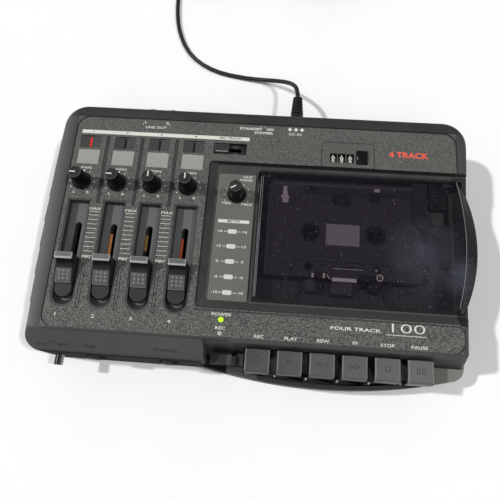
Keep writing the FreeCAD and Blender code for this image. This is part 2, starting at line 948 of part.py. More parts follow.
def field_line(inset):
    """Border of the textured field, anticlockwise from the deck step's back edge round to its
    front edge. An inset line is bent the other way, to be walked back."""
    side, back, front = S.field_half_width - inset, S.field_back - inset, -S.field_front + inset
    inner = -S.field_inner_front - inset
    r, q = S.field_corner_radius, S.field_inner_corner_radius
    far, near = S.field_back - r, -S.field_front + r
    across = S.field_half_width - r
    rounds = [((side, far), (across, back), r), ((-across, back), (-side, far), r),
              ((-side, near), (-across, front), r), ((across, front), (side, near), r),
              ((side, -S.field_inner_front - q), (S.field_half_width - q, inner), q)]
    points = [(side, S.step_back - 1)]
    for start, end, radius in rounds:
        if inset:
            points += [start, (*end, inset - radius)]
        else:
            points += [(*start, radius), end]
    return points + [(-S.step_left - S.step_left_run, inner)]


def case_step(case):
    """The deck lies a step lower, with a sloping edge at its left and front."""
    grow = (S.step_depth + 1) / S.step_depth
    far = 2 * S.right_back
    low = case.sketch("step_low", step_z).outline(
        step_outline(-S.step_left, -S.step_front, far))
    high = case.sketch("step_high", panel + 1).outline(
        step_outline(-S.step_left - S.step_left_run * grow,
                     -S.step_front - S.step_front_run * grow, far))
    case.loft("step_cut", low, high, cut=True)
    opening = case.sketch("deck_opening", 0).rounded(
        S.deck_left, S.deck_right, -S.deck_front, S.hinge_slot_front + 2 * S.deck_corner_radius,
        S.deck_corner_radius)
    case.cut_through("deck_cut", opening)
    slot = case.sketch("hinge_slot", 0).rounded(
        -S.hinge_slot_left, S.hinge_slot_right, S.hinge_slot_front, S.hinge_slot_back,
        S.deck_corner_radius / 2)
    case.cut_through("hinge_cut", slot)


def step_outline(left, front, right):
    """Outline of the step at one height, with its two left corners cut in three facets."""
    back, c, d = S.step_back, S.step_corner, S.step_corner * 0.3
    return [(right, front), (right, back), (left + c, back), (left + d, back - d),
            (left, back - c), (left, front + c), (left + d, front + d), (left + c, front)]


def case_channels(case):
    """Four fader wells with a rim, a scoop in front and a slot, and holes over the pan controls."""
    x, half = -S.fader_x, S.well_width / 2
    rim = case.sketch("well_rim", panel).arch(
        x, -S.well_front - S.well_rim, S.well_back + S.well_rim, half + S.well_rim)
    rim_cut = case.pocket("well_rim_cut", rim, S.well_rim_depth)
    well_cut = case.loft(
        "well_cut",
        case.sketch("well_floor", panel - S.well_depth).outline(
            well_outline(x, -S.well_front + S.well_scoop)),
        case.sketch("well_mouth", panel).outline(well_outline(x, -S.well_front)), cut=True)
    slot = case.sketch("slot", panel).stadium(x, -S.slot_front, S.slot_back, S.slot_width / 2)
    slot_cut = case.pocket("slot_cut", slot, S.roof_thick + 1)
    hole = case.sketch("pan_hole", panel).circle(-S.pan_x, S.pan_y, S.knob_stem_radius + S.free_gap)
    hole_cut = case.pocket("pan_cut", hole, S.roof_thick + 1)
    case.row("channels", [rim_cut, well_cut, slot_cut, hole_cut], "X_Axis",
             (S.channel_count - 1) * S.channel_pitch, S.channel_count)
    dividers = []
    for name, x, front, back in (
            ("rear", -S.rear_divider_x, S.rear_divider_front, S.rear_divider_back),
            ("front", -S.front_divider_x, -S.front_divider_front, -S.front_divider_back)):
        line = case.sketch(f"{name}_divider", panel)
        line.stadium(x, front, back, S.divider_width / 2)
        line.stadium(x, front + S.divider_line, back - S.divider_line,
                     S.divider_width / 2 - S.divider_line)
        dividers.append(case.pocket(f"{name}_divider_cut", line, S.divider_depth))
    case.row("dividers", dividers, "X_Axis",
             (S.channel_count - 2) * S.channel_pitch, S.channel_count - 1)


def well_outline(x, front):
    """Outline of a fader well at one height: square at the back, round in front."""
    half = S.well_width / 2
    facets = int(S.well_scoop_facets)
    bow = [math.pi * number / facets for number in range(facets + 1)]
    return [(x - half * math.cos(a), front + half - half * math.sin(a)) for a in bow] + [
        (x + half, S.well_back), (x - half, S.well_back)]


def case_seats(case):
    """Shallow seats for the tiles, labels, selector and lamps, and openings for the rest."""
    gap = S.seat_gap
    half, near = S.tile_width / 2 + gap, S.tile_front - gap
    tile = case.sketch("tile_seat", panel).rectangle(
        -S.tile_x - half, -S.tile_x + half, near, near + S.tile_depth + 2 * gap)
    half, near = S.label_width / 2 + gap, S.label_front - gap
    label = case.sketch("label_seat", panel).rectangle(
        -S.label_x - half, -S.label_x + half, near, near + S.label_depth + 2 * gap)
    seats = [case.pocket("tile_cut", tile, S.tile_seat),
             case.pocket("label_cut", label, S.label_seat)]
    case.row("seats", seats, "X_Axis", (S.channel_count - 1) * S.tile_pitch, S.channel_count)
    selector = case.sketch("selector", panel).rectangle(
        -S.selector_left, -S.selector_right,
        S.selector_front, S.selector_front + S.selector_depth)
    case.pocket("selector_cut", selector, S.selector_recess)
    left, right, y, half = selector_slot()
    slot = case.sketch("selector_slot", panel).rectangle(left, right, y - half, y + half)
    case.pocket("selector_slot_cut", slot, S.roof_thick + 1)
    seat = case.sketch("counter_seat", panel).rounded(
        S.counter_left - gap, S.counter_right + gap, S.step_back - 2 * S.counter_lip,
        S.counter_back + gap, S.counter_lip)
    case.pocket("counter_seat_cut", seat, S.counter_seat)
    counter = case.sketch("counter", panel).rectangle(
        S.counter_left + S.counter_lip, S.counter_right - S.counter_lip,
        S.counter_front + S.counter_lip, S.counter_back - S.counter_lip)
    case.pocket("counter_cut", counter, S.roof_thick + 1)
    holes = case.sketch("lamp_holes", panel)
    holes.circle(-S.lamp_x, -S.power_lamp_y, S.power_lamp_radius + gap)
    holes.circle(-S.lamp_x, -S.rec_lamp_y, S.rec_lamp_radius + gap)
    case.pocket("lamp_cut", holes, S.roof_thick + 1)
    level = case.sketch("level_hole", panel).circle(
        -S.level_x, S.level_y, S.knob_stem_radius + S.free_gap)
    case.pocket("level_cut", level, S.roof_thick + 1)


def selector_slot():
    """Limits of the slot that the selector's stem runs in: left, right, middle and half width."""
    rest = -S.selector_left + S.selector_margin + S.selector_knob_length / 2
    reach = S.selector_stem_length / 2 + S.free_gap
    middle = S.selector_front + S.selector_depth / 2
    return rest - reach, rest + S.selector_travel + reach, middle, \
        S.selector_stem_width / 2 + S.free_gap


def case_hollow(case):
    """Empties the case from below and leaves the screw bosses."""
    hollow = case.sketch("hollow", seam).outline(inner_outline())
    case.pocket("hollow_cut", hollow, roof - seam, Reversed=True)
    c = S.corner_cut
    left, right = S.left_front - S.case_wall, S.right_back - 1.2 * S.case_wall
    edge = S.step_left + S.step_left_run + S.case_wall
    light = case.sketch("light", roof).outline([
        (-left, S.well_back + S.case_wall), (-edge, S.well_back + S.case_wall),
        (-edge, S.step_back + S.case_wall), (right, S.step_back + S.case_wall),
        (right, inner_back - c), (right - c, inner_back),
        (-left + c, inner_back), (-left, inner_back - c)])
    case.pocket("light_cut", light, light_roof - roof, Reversed=True)
    bosses = case.sketch("bosses", seam)
    for x, y in TOP_BOSSES:
        bosses.circle(x, y, S.boss_radius)
    case.pad("boss_pads", bosses, light_roof - seam)
    pilots = case.sketch("pilots", seam)
    for x, y in TOP_BOSSES:
        pilots.circle(x, y, S.screw_radius + S.running_gap)
    case.pocket("pilot_cut", pilots, S.screw_length - seam + S.foot_height + S.screw_recess,
                Reversed=True)
    feet = case.sketch("plate_bosses", S.deck_top)
    for x, y in PLATE_BOSSES:
        feet.circle(x, y, S.plate_boss_radius)
    case.pad("plate_boss_pads", feet, roof - S.deck_top)
    pilots = case.sketch("plate_pilots", S.deck_top)
    for x, y in PLATE_BOSSES:
        pilots.circle(x, y, S.plate_screw_radius + S.running_gap)
    case.pocket("plate_pilot_cut", pilots, roof - S.deck_top, Reversed=True)


def case_walls(case):
    """Openings in the upright walls: key levers in front, sockets at the front and back."""
    wall_foot = S.panel_front + S.key_wall_run
    keys = case.sketch("key_window", seam).rectangle(
        -S.bay_inner_left, S.bay_right, -wall_foot - 1, -S.key_wall_inside + 1)
    case.pocket("key_window_cut", keys, S.key_window_top - seam, Reversed=True)
    rear = case.sketch("rear_holes", -S.case_back - 1, "XZ_Plane")
    for x in line_jack_places():
        rear.circle(x, S.rear_z, S.line_jack_body_radius + S.seat_gap)
    rear.circle(S.dc_x, S.rear_z, S.dc_mouth_radius)
    left, right, half = switch_slot()
    rear.rectangle(left, right, S.rear_z - half, S.rear_z + half)
    case.pocket("rear_cut", rear, 2 * S.case_wall, Reversed=True)
    front = case.sketch("front_holes", S.case_front + 1, "XZ_Plane")
    front.circle(-S.trim_x, S.trim_z, S.trim_radius / 2 + S.running_gap)
    for x in (-S.input_jack_x, -S.phones_jack_x):
        front.circle(x, S.front_jack_z, S.phone_sleeve_radius + S.seat_gap)
    case.pocket("front_cut", front, 2 * S.case_wall)


def line_jack_places():
    return (-S.line_jack_x, -S.line_jack_x + S.line_jack_pitch)


def switch_slot():
    """Left, right and half height of the slot that the power switch runs in."""
    half = S.switch_knob_width / 2 + S.free_gap
    return -half - S.switch_travel, half, S.switch_knob_height / 2 + S.free_gap


def tray_arc(rim, x):
    """Where the front of the tray lies at x, a rim's thickness inside it."""
    ax, ay = -S.tray_start, -S.case_front
    bx, by = S.right_seam_front, -S.tray_end_front
    hx, hy = (bx - ax) / 2, (by - ay) / 2
    half = root(hx * hx + hy * hy)
    rise = root(S.tray_bow_radius * S.tray_bow_radius - half * half)
    cx = (ax + bx) / 2 - hy / half * rise
    cy = (ay + by) / 2 + hx / half * rise
    radius = S.tray_bow_radius - rim
    return cy - root(radius * radius - (x - cx) * (x - cx))


def bottom_case():
    """The tray: floor, walls, a swelling front under the keys, bosses and posts."""
    case = Solid("bottom_case")
    outline = case.sketch("outline", S.foot_height).outline([
        (S.right_seam_front, -S.tray_end_front, S.right_bow_radius),
        (S.right_back, S.case_back),
        (-S.left_back, S.case_back, S.left_bow_radius),
        (-S.left_front, -S.case_front),
        (-S.tray_start, -S.case_front, S.tray_bow_radius)])
    case.pad("block", outline, seam - S.foot_height)
    case.soften("back_corners", S.back_corner_radius, upright_at(
        (S.right_back, S.case_back), (-S.left_back, S.case_back)))
    case.soften("front_corner", S.front_corner_radius, upright_at((-S.left_front, -S.case_front)))
    case.soften("tray_corner", S.tray_corner_radius,
                upright_at((S.right_seam_front, -S.tray_end_front)))
    case.soften("lower_edge", S.floor_edge_radius, level_at(S.foot_height))
    tray_hollow(case)
    tray_posts(case)
    case.finish()


def tray_hollow(case):
    """Hollow of the tray, the open bay under the keys and the steps beside them."""
    depth = seam - floor_top
    hollow = case.sketch("hollow", seam).outline(inner_outline())
    case.pocket("hollow_cut", hollow, depth)
    left, right, rim = -S.bay_inner_left, S.bay_right, S.tray_rim
    bay = case.sketch("bay", seam).outline([
        (left, -S.key_wall_inside + 1), (left, tray_arc(rim, left), S.tray_bow_radius - rim),
        (right, tray_arc(rim, right)), (right, -S.key_wall_inside + 1)])
    case.pocket("bay_cut", bay, depth)
    front = tray_arc(S.tray_rim, -S.filler_left)
    filler = case.sketch("filler", seam).rectangle(
        -S.filler_left, -S.filler_right, front, -S.filler_back)
    case.pad("filler_pad", filler, S.filler_top - seam)
    step = case.sketch("filler_step", seam).rectangle(
        -S.filler_right, left, front, -S.filler_back)
    case.pad("filler_step_pad", step, S.filler_step_top - seam)


def tray_posts(case):
    """Screw bosses, the posts that carry the keys' shaft, and posts for board and capstan."""
    bosses = case.sketch("bosses", floor_top)
    for x, y in TOP_BOSSES:
        bosses.circle(x, y, S.boss_radius)
    case.pad("boss_pads", bosses, seam - floor_top)
    holes = case.sketch("screw_holes", S.foot_height)
    heads = case.sketch("screw_heads", S.foot_height)
    for x, y in TOP_BOSSES:
        holes.circle(x, y, S.screw_radius + S.seat_gap)
        heads.circle(x, y, S.screw_head_radius + S.seat_gap)
    case.pocket("screw_cut", holes, seam, Reversed=True)
    case.pocket("head_cut", heads, S.screw_recess, Reversed=True)
    posts = case.sketch("shaft_posts", floor_top)
    for low, high in shaft_posts():
        posts.rectangle(low, high, -S.pivot_y - S.pivot_post_depth / 2,
                        -S.pivot_y + S.pivot_post_depth / 2)
    case.pad("shaft_post_pads", posts, S.pivot_post_top - floor_top)
    bore = case.sketch("shaft_bore", 0, "YZ_Plane").circle(
        -S.pivot_y, S.pivot_z, S.pivot_radius + S.running_gap)
    case.cut_through("shaft_bore_cut", bore)
    small = case.sketch("board_posts", floor_top)
    for x, y in board_corners():
        small.circle(x, y, S.board_post_radius)
    case.pad("board_post_pads", small, S.board_post)
    step = case.sketch("capstan_post", floor_top).circle(
        capstan_x, -S.capstan_y, S.board_post_radius)
    case.pad("capstan_post_pad", step, S.flywheel_low - S.capstan_tail - S.lid_gap - floor_top)


def shaft_posts():
    """Limits across of the two posts that hold the keys' shaft."""
    left, right = -S.bay_inner_left - S.free_gap, S.bay_right + S.free_gap
    return (left - S.pivot_post_thick, left), (right, right + S.pivot_post_thick)


def board_corners():
    inset = 2 * S.board_post_radius
    return [(x, y) for x in (-S.board_left + inset, -S.board_right - inset)
            for y in (-S.board_front + inset, S.board_back - 2 * inset)]


def feet_and_screws():
    """Rubber feet, the screws that join the case and those that hold the deck plate."""
    feet = []
    for number, (x, y) in enumerate([(-S.foot_x, S.foot_back_y), (S.foot_x, S.foot_back_y),
                                     (-S.foot_x, -S.foot_front_y), (S.foot_x, -S.foot_front_y)]):
        foot = rod(f"foot_{number}", S.foot_radius, (x, y, 0.0), S.foot_height)
        feet.append(eased(f"foot_eased_{number}", foot, S.foot_height / 3, level_at(0.0),
                          "Part::Chamfer"))
    node("rubber_feet", group("feet", *feet))
    screws = []
    for number, (x, y) in enumerate(TOP_BOSSES):
        low = S.foot_height + S.screw_recess - S.screw_head_thick
        screws.append(screw(f"case_screw_{number}", x, y, low, S.screw_radius,
                            S.screw_head_radius, S.screw_length))
    for number, (x, y) in enumerate(PLATE_BOSSES):
        screws.append(screw(f"plate_screw_{number}", x, y, deck_low - S.screw_head_thick,
                            S.plate_screw_radius, S.plate_screw_radius * 2,
                            S.plate_screw_length))
    node("case_screws", group("screws", *screws))


def screw(name, x, y, z, radius, head_radius, length):
    """A pan-head screw that stands head down."""
    head = rod(f"{name}_head", head_radius, (x, y, z), S.screw_head_thick)
    shank = rod(f"{name}_shank", radius, (x, y, z + S.screw_head_thick), length)
    return fuse(name, head, shank)


# ---------------------------------------------------------------- panel pieces

def meter_strip():
    strip = Solid("meter_panel")
    outline = strip.sketch("outline", step_z).rounded(
        -S.meter_left, -S.meter_right, -S.meter_front, S.meter_back, S.lid_wall / 2)
    strip.pad("plate", outline, S.meter_thick)
    hole = strip.sketch("level_hole", meter_top).circle(
        -S.level_x, S.level_y, S.knob_stem_radius + S.free_gap)
    strip.pocket("level_cut", hole, 2 * S.meter_thick)
    window = strip.sketch("lamp_window", meter_top)
    half, radius = S.meter_lamp_length / 2, S.meter_lamp_width / 2
    y = -S.meter_lamp_first
    window.rounded(-S.meter_lamp_x - half, -S.meter_lamp_x + half, y - radius, y + radius,
                   radius * 0.9)
    first = strip.pocket("lamp_cut", window, 2 * S.meter_thick)
    row = strip.row("lamp_row", [first], "Y_Axis",
                    (S.meter_lamp_count - 1) * S.meter_lamp_pitch, S.meter_lamp_count)
    row.Reversed = True
    strip.finish()


def meter_lenses():
    """Five bar lenses that fill the windows of the meter."""
    lenses = []
    half, radius = S.meter_lamp_length / 2, S.meter_lamp_width / 2
    for number in range(int(S.meter_lamp_count)):
        y = -S.meter_lamp_first - number * S.meter_lamp_pitch
        lens = box(f"lens_{number}", (-S.meter_lamp_x - half, -S.meter_lamp_x + half),
                   (y - radius, y + radius), (step_z, meter_top + S.meter_lamp_proud))
        lenses.append(eased(f"lens_round_{number}", lens, radius * 0.9,
                            lambda edge: abs(ends(edge)[0].z - ends(edge)[1].z) > 0.5))
    node("meter_lenses", group("lenses", *lenses))


def signal_lamps():
    """Power and record lamps, little domes in the panel."""
    lamps = []
    for name, y, radius in (("power", -S.power_lamp_y, S.power_lamp_radius),
                            ("rec", -S.rec_lamp_y, S.rec_lamp_radius)):
        stem = rod(f"{name}_lamp_stem", radius, (-S.lamp_x, y, roof), panel + S.lamp_proud - roof)
        lamps.append(eased(f"{name}_lamp", stem, radius * 0.4, level_at(panel + S.lamp_proud)))
    node("signal_lamps", group("lamps", *lamps))


def track_tiles():
    """Tiles with a shallow valley and a slit, a lamp in each slit, and write-on labels."""
    tiles, lamps, labels = [], [], []
    for number in range(int(S.channel_count)):
        x = channel(number, S.tile_x, S.tile_pitch)
        tile = Solid(f"tile_{number + 1}")
        half, low = S.tile_width / 2, panel - S.tile_seat
        profile = tile.sketch("profile", -S.tile_front, "XZ_Plane").outline([
            (x - half, low), (x + half, low), (x + half, low + S.tile_height + S.tile_notch),
            (x, low + S.tile_height), (x - half, low + S.tile_height + S.tile_notch)])
        tile.pad("block", profile, S.tile_depth, Reversed=True)
        y = S.tile_front + S.tile_depth / 2
        slit_half, long_half = S.tile_lamp_width / 2, S.tile_lamp_length / 2
        slit = tile.sketch("slit", 0).rectangle(
            x - slit_half, x + slit_half, y - long_half, y + long_half)
        tile.cut_through("slit_cut", slit)
        tile.body.Tip.Visibility = True
        tiles.append(tile.body)
        gap = S.running_gap
        lamps.append(box(f"track_lamp_{number + 1}",
                         (x - slit_half + gap, x + slit_half - gap),
                         (y - long_half + gap, y + long_half - gap),
                         (low, low + S.tile_height + S.tile_notch / 2)))
        mark = channel(number, S.label_x, S.tile_pitch)
        labels.append(box(f"label_{number + 1}",
                          (mark - S.label_width / 2, mark + S.label_width / 2),
                          (S.label_front, S.label_front + S.label_depth),
                          (panel - S.label_seat, panel - S.label_seat + S.label_thick)))
    node("track_tiles", group("tiles", *tiles))
    node("track_lamps", group("slit_lamps", *lamps))
    node("label_strips", group("labels", *labels))


def control_pots():
    """Slide controls under the wells and rotary ones under the knobs."""
    pots = []
    for number in range(int(S.channel_count)):
        x = channel(number, S.fader_x)
        rest = -S.fader_rest_y + S.fader_lever_offset
        reach = S.fader_lever_depth / 2 + S.slide_pot_margin
        track = box(f"slide_track_{number}", (x - S.slide_pot_width / 2, x + S.slide_pot_width / 2),
                    (rest - 2 * reach, rest + S.fader_travel + 2 * reach),
                    (roof - S.slide_pot_height, roof))
        half = S.fader_lever_width / 2 + S.free_gap
        groove = box(f"slide_groove_{number}", (x - half, x + half),
                     (rest - reach, rest + S.fader_travel + reach),
                     (panel - S.fader_lever_reach - S.free_gap, panel))
        pots.append(cut(f"slide_pot_{number}", track, groove))
        pots.append(rotary_pot(number, channel(number, S.pan_x), S.pan_y, light_roof, panel))
    pots.append(rotary_pot(int(S.channel_count), -S.level_x, S.level_y, roof, meter_top))
    node("control_pots", group("pots", *pots))


def rotary_pot(number, x, y, top, face):
    """A square control body with a bore for its knob's stem, which ends inside it."""
    half = S.rotary_pot_side / 2
    body = box(f"rotary_body_{number}", (x - half, x + half), (y - half, y + half),
               (top - S.rotary_pot_height, top))
    bore = rod(f"rotary_bore_{number}", S.knob_stem_radius + S.running_gap,
               (x, y, face - stem_reach(top, face) - S.free_gap), S.knob_height)
    return cut(f"rotary_pot_{number}", body, bore)


def stem_reach(top, face):
    """How far a knob's stem goes down from the face it turns on."""
    return face - top + S.knob_stem_reach


def rotary_knob(name, x, y, face, top, angle):
    """A tapering fluted knob with a pointer, on a stem that turns in its control."""
    knob = Solid(name)
    reach = stem_reach(top, face)
    shoulder = S.knob_gap + S.knob_skirt_height
    profile = knob.sketch("profile", 0, "XZ_Plane").outline([
        (0.0, -reach), (S.knob_stem_radius, -reach), (S.knob_stem_radius, S.knob_gap),
        (S.knob_base_radius, S.knob_gap), (S.knob_base_radius, shoulder),
        (S.knob_top_radius, S.knob_height - S.knob_crown),
        (S.knob_top_radius - S.knob_crown, S.knob_height), (0.0, S.knob_height)])
    knob.turn("body", profile)

    def groove_ring(name, z, radius, half):
        return knob.sketch(name, z).outline([
            (radius - S.knob_flute_depth, 0.0), (radius + S.knob_flute_depth, -half),
            (radius + S.knob_flute_depth, half)])
    flute = knob.loft(
        "flute",
        groove_ring("flute_low", shoulder + S.knob_crown, S.knob_base_radius, S.knob_flute_half),
        groove_ring("flute_high", S.knob_height + S.knob_crown, S.knob_top_radius,
                    S.knob_flute_half * 0.7), cut=True)
    knob.ring("flutes", [flute], "Z_Axis", S.knob_flutes)
    mark = knob.sketch("pointer", S.knob_height).rectangle(
        -S.knob_crown / 2, S.knob_crown / 2, 0.0, S.knob_top_radius + 1)
    knob.pocket("pointer_cut", mark, S.knob_crown / 2)
    knob.finish()
    place(knob.body, x, y, face, angle=angle)


def rotary_knobs():
    for number, angle in enumerate((90.0, 90.0, 0.0, 0.0)):
        rotary_knob(f"pan_knob_{number + 1}", channel(number, S.pan_x), S.pan_y, panel,
                    light_roof, angle)
    rotary_knob("level_knob", -S.level_x, S.level_y, meter_top, roof, 120.0)


def fader_knob(number):
    """Fader cap: high grip bar at the back, hollowed thumb slope, low tongue in front."""
    fader = Solid(f"fader_knob_{number + 1}")
    half, top = S.fader_length / 2, S.fader_height
    low = S.fader_floor_gap - S.well_depth
    profile = fader.sketch("profile", 0, "YZ_Plane").outline([
        (-half + S.fader_toe, low), (half - S.fader_toe, low), (half, low + S.fader_toe),
        (half - S.fader_bar_lean, top), (half - S.fader_bar_lean - S.fader_bar, top),
        (half - S.fader_bar_lean - S.fader_bar - S.fader_toe, top - S.fader_bar_drop,
         -S.fader_thumb_radius),
        (-S.fader_length * 0.24, top * 0.42), (-S.fader_length * 0.27, top * 0.26,
                                              S.fader_tongue_radius),
        (-half, low + 2 * S.fader_toe)])
    fader.pad("cap", profile, S.fader_width, Midplane=True)
    x, y = S.fader_lever_width / 2, S.fader_lever_depth / 2
    lever = fader.sketch("lever", -S.fader_lever_reach).rectangle(
        -x, x, S.fader_lever_offset - y, S.fader_lever_offset + y)
    fader.pad("lever_pad", lever, S.fader_lever_reach + low + S.fader_toe)
    fader.finish()
    place(fader.body, channel(number, S.fader_x), -S.fader_rest_y, panel)


def track_selector():
    """Slide that picks the track to record on; its stem runs in a slot."""
    left = -S.selector_left + S.selector_margin
    middle = left + S.selector_knob_length / 2
    y = S.selector_front + S.selector_depth / 2
    low = panel - S.selector_recess + S.lid_gap
    cap = box("selector_cap", (left, left + S.selector_knob_length),
              (S.selector_front + S.free_gap, S.selector_front + S.selector_depth - S.free_gap),
              (low, low + S.selector_knob_height))
    cap = eased("selector_eased", cap, S.knob_crown,
                level_at(low + S.selector_knob_height))
    stem = box("selector_stem",
               (middle - S.selector_stem_length / 2, middle + S.selector_stem_length / 2),
               (y - S.selector_stem_width / 2, y + S.selector_stem_width / 2),
               (light_roof - S.selector_recess, low + S.knob_crown))
    node("track_selector", fuse("selector", cap, stem))


# ---------------------------------------------------------------- counter

def counter_frame():
    frame = Solid("counter_frame")
    lip, wall, gap = S.counter_lip, S.counter_wall, S.seat_gap
    flange = frame.sketch("flange", panel - S.counter_seat).rounded(
        S.counter_left, S.counter_right, S.counter_front, S.counter_back, lip)
    frame.pad("flange_pad", flange, S.counter_flange)
    shell = frame.sketch("shell", panel - S.counter_box_depth).rectangle(
        S.counter_left + lip + gap, S.counter_right - lip - gap,
        S.counter_front + lip + gap, S.counter_back - lip - gap)
    frame.pad("shell_pad", shell, S.counter_box_depth)
    left, right, front, back = wheel_chamber()
    chamber = frame.sketch("chamber", panel - S.counter_box_depth).rectangle(
        left, right, front, back)
    frame.pocket("chamber_cut", chamber, S.counter_box_depth - wall / 2, Reversed=True)
    window = frame.sketch("window", panel + S.counter_flange).rectangle(
        S.counter_window_left, S.counter_window_left + S.counter_window_width,
        S.counter_window_front, S.counter_window_front + S.counter_window_depth)
    frame.pocket("window_cut", window, S.counter_flange + wall)
    button = frame.sketch("button", 0).rectangle(
        S.reset_left - S.free_gap, S.reset_left + S.reset_width + S.free_gap,
        S.reset_front - S.free_gap, S.reset_front + S.reset_depth + S.free_gap)
    frame.cut_through("button_cut", button)
    axle = frame.sketch("axle", left - wall / 2, "YZ_Plane").circle(
        S.wheel_y, S.wheel_z, S.wheel_axle_radius)
    frame.pad("axle_pad", axle, right - left + wall)
    frame.finish()


def wheel_chamber():
    """Limits of the counter wheels' chamber: left, right, front and back."""
    half = S.wheel_width / 2 + S.free_gap
    return (S.wheel_first_x - half, S.wheel_first_x + 2 * S.wheel_pitch + half,
            S.wheel_y - S.wheel_radius - S.free_gap / 2,
            S.wheel_y + S.wheel_radius + S.free_gap)


def counter_wheels():
    for number, name in enumerate(("hundreds", "tens", "units")):
        x = S.wheel_first_x + number * S.wheel_pitch
        start = (x - S.wheel_width / 2, S.wheel_y, S.wheel_z)
        rim = rod(f"{name}_rim", S.wheel_radius, start, S.wheel_width, "x")
        bore = rod(f"{name}_bore", S.wheel_axle_radius + S.running_gap,
                   (x - S.wheel_width, S.wheel_y, S.wheel_z), 2 * S.wheel_width, "x")
        node(f"counter_{name}", cut(f"{name}_wheel", rim, bore))
    top = panel + S.counter_flange + S.reset_proud
    button = box("reset_block", (S.reset_left, S.reset_left + S.reset_width),
                 (S.reset_front, S.reset_front + S.reset_depth), (top - S.reset_height, top))
    node("counter_reset", eased("reset_button", button, S.knob_crown / 2, level_at(top)))


# ---------------------------------------------------------------- cassette and its reels

def cassette():
    shell = Solid("cassette_shell")
    x, wall = S.cassette_x, S.cassette_wall
    half, front = S.cassette_width / 2, -S.cassette_front
    back = front + S.cassette_depth
    plate = shell.sketch("plate", shell_low).rounded(
        x - half, x + half, front, back, S.cassette_corner)
    shell.pad("plate_pad", plate, S.cassette_thick)
    wide, narrow = S.cassette_nose_width / 2, S.cassette_nose_top_width / 2
    nose = shell.sketch("nose", cassette_low).outline([
        (x - wide, front), (x + wide, front),
        (x + narrow, -S.cassette_nose_back), (x - narrow, -S.cassette_nose_back)])
    shell.pad("nose_pad", nose, S.cassette_nose_thick)
    cavity = shell.sketch("cavity", shell_low + wall).rectangle(
        x - half + wall, x + half - wall, front + S.head_bay_depth + wall, back - wall)
    shell.pocket("cavity_cut", cavity, S.cassette_thick - 2 * wall, Reversed=True)
    holes = shell.sketch("holes", 0)
    for place_x, y in HUBS.values():
        holes.circle(place_x, y, S.hub_hole_radius)
    for side in (-1, 1):
        holes.circle(x + side * S.capstan_offset, -S.capstan_y, 2 * S.capstan_radius)
    shell.cut_through("holes_cut", holes)
    window = shell.sketch("window", shell_top).rectangle(*window_limits())
    shell.pocket("window_cut", window, wall + S.running_gap)
    bays = shell.sketch("bays", -front, "XZ_Plane")
    low, high = cassette_low + wall, cassette_low + S.cassette_nose_thick - wall
    for middle, width in ((x, S.head_bay_width), (S.erase_head_x, S.erase_bay_width),
                          (capstan_x, S.roller_bay_width)):
        bays.rectangle(middle - width / 2, middle + width / 2, low, high)
    shell.pocket("bays_cut", bays, S.head_bay_depth)
    shell.finish()
    left, right, near, far = window_limits()
    node("cassette_window", box("tape_window", (left, right), (near, far),
                                (shell_top - wall, shell_top)))


def window_limits():
    half = S.window_width / 2
    return (S.cassette_x - half, S.cassette_x + half,
            -S.window_front, -S.window_front + S.window_depth)


def reel(side, pack_radius):
    """A toothed hub with its pack of tape, and the spindle that drives it."""
    hub = Solid(f"{side}_reel")
    low = shell_low + S.cassette_wall + S.tape_gap
    high = shell_top - S.cassette_wall - S.tape_gap
    tape_low = cassette_mid - S.tape_width / 2
    tape_high = cassette_mid + S.tape_width / 2
    profile = hub.sketch("profile", 0, "XZ_Plane").outline([
        (S.hub_inner_radius, low), (S.hub_outer_radius, low), (S.hub_outer_radius, tape_low),
        (pack_radius, tape_low), (pack_radius, tape_high), (S.hub_outer_radius, tape_high),
        (S.hub_outer_radius, high), (S.hub_inner_radius, high)])
    hub.turn("body", profile)
    inner = S.hub_inner_radius
    tooth = hub.sketch("tooth", low).rectangle(
        inner - S.hub_tooth, inner + S.hub_tooth / 2, -S.hub_tooth / 2, S.hub_tooth / 2)
    pad = hub.pad("tooth_pad", tooth, high - low)
    hub.ring("teeth", [pad], "Z_Axis", S.hub_teeth)
    hub.finish()
    place(hub.body, *HUBS[side])

    spindle = Solid(f"{side}_spindle")
    table = deck_low - S.reel_table_drop
    crown = S.deck_top + S.head_plate_gap
    profile = spindle.sketch("profile", 0, "XZ_Plane").outline([
        (0.0, table - S.reel_table_drop), (S.spindle_radius, table - S.reel_table_drop),
        (S.spindle_radius, table - S.reel_table_thick), (S.reel_table_radius,
                                                         table - S.reel_table_thick),
        (S.reel_table_radius, table), (S.spindle_radius, table), (S.spindle_radius, crown),
        (S.spindle_crown_radius, crown), (S.spindle_crown_radius, high - S.hub_tooth),
        (S.spindle_radius / 2, high + S.hub_tooth), (0.0, high + S.hub_tooth)])
    spindle.turn("body", profile)
    fin = spindle.sketch("fin", crown + S.hub_tooth).rectangle(
        0.0, S.spindle_fin_radius, -S.hub_tooth / 2, S.hub_tooth / 2)
    pad = spindle.pad("fin_pad", fin, high - crown - 2 * S.hub_tooth)
    spindle.ring("fins", [pad], "Z_Axis", S.spindle_fins)
    spindle.finish()
    place(spindle.body, *HUBS[side])


# ---------------------------------------------------------------- deck mechanism

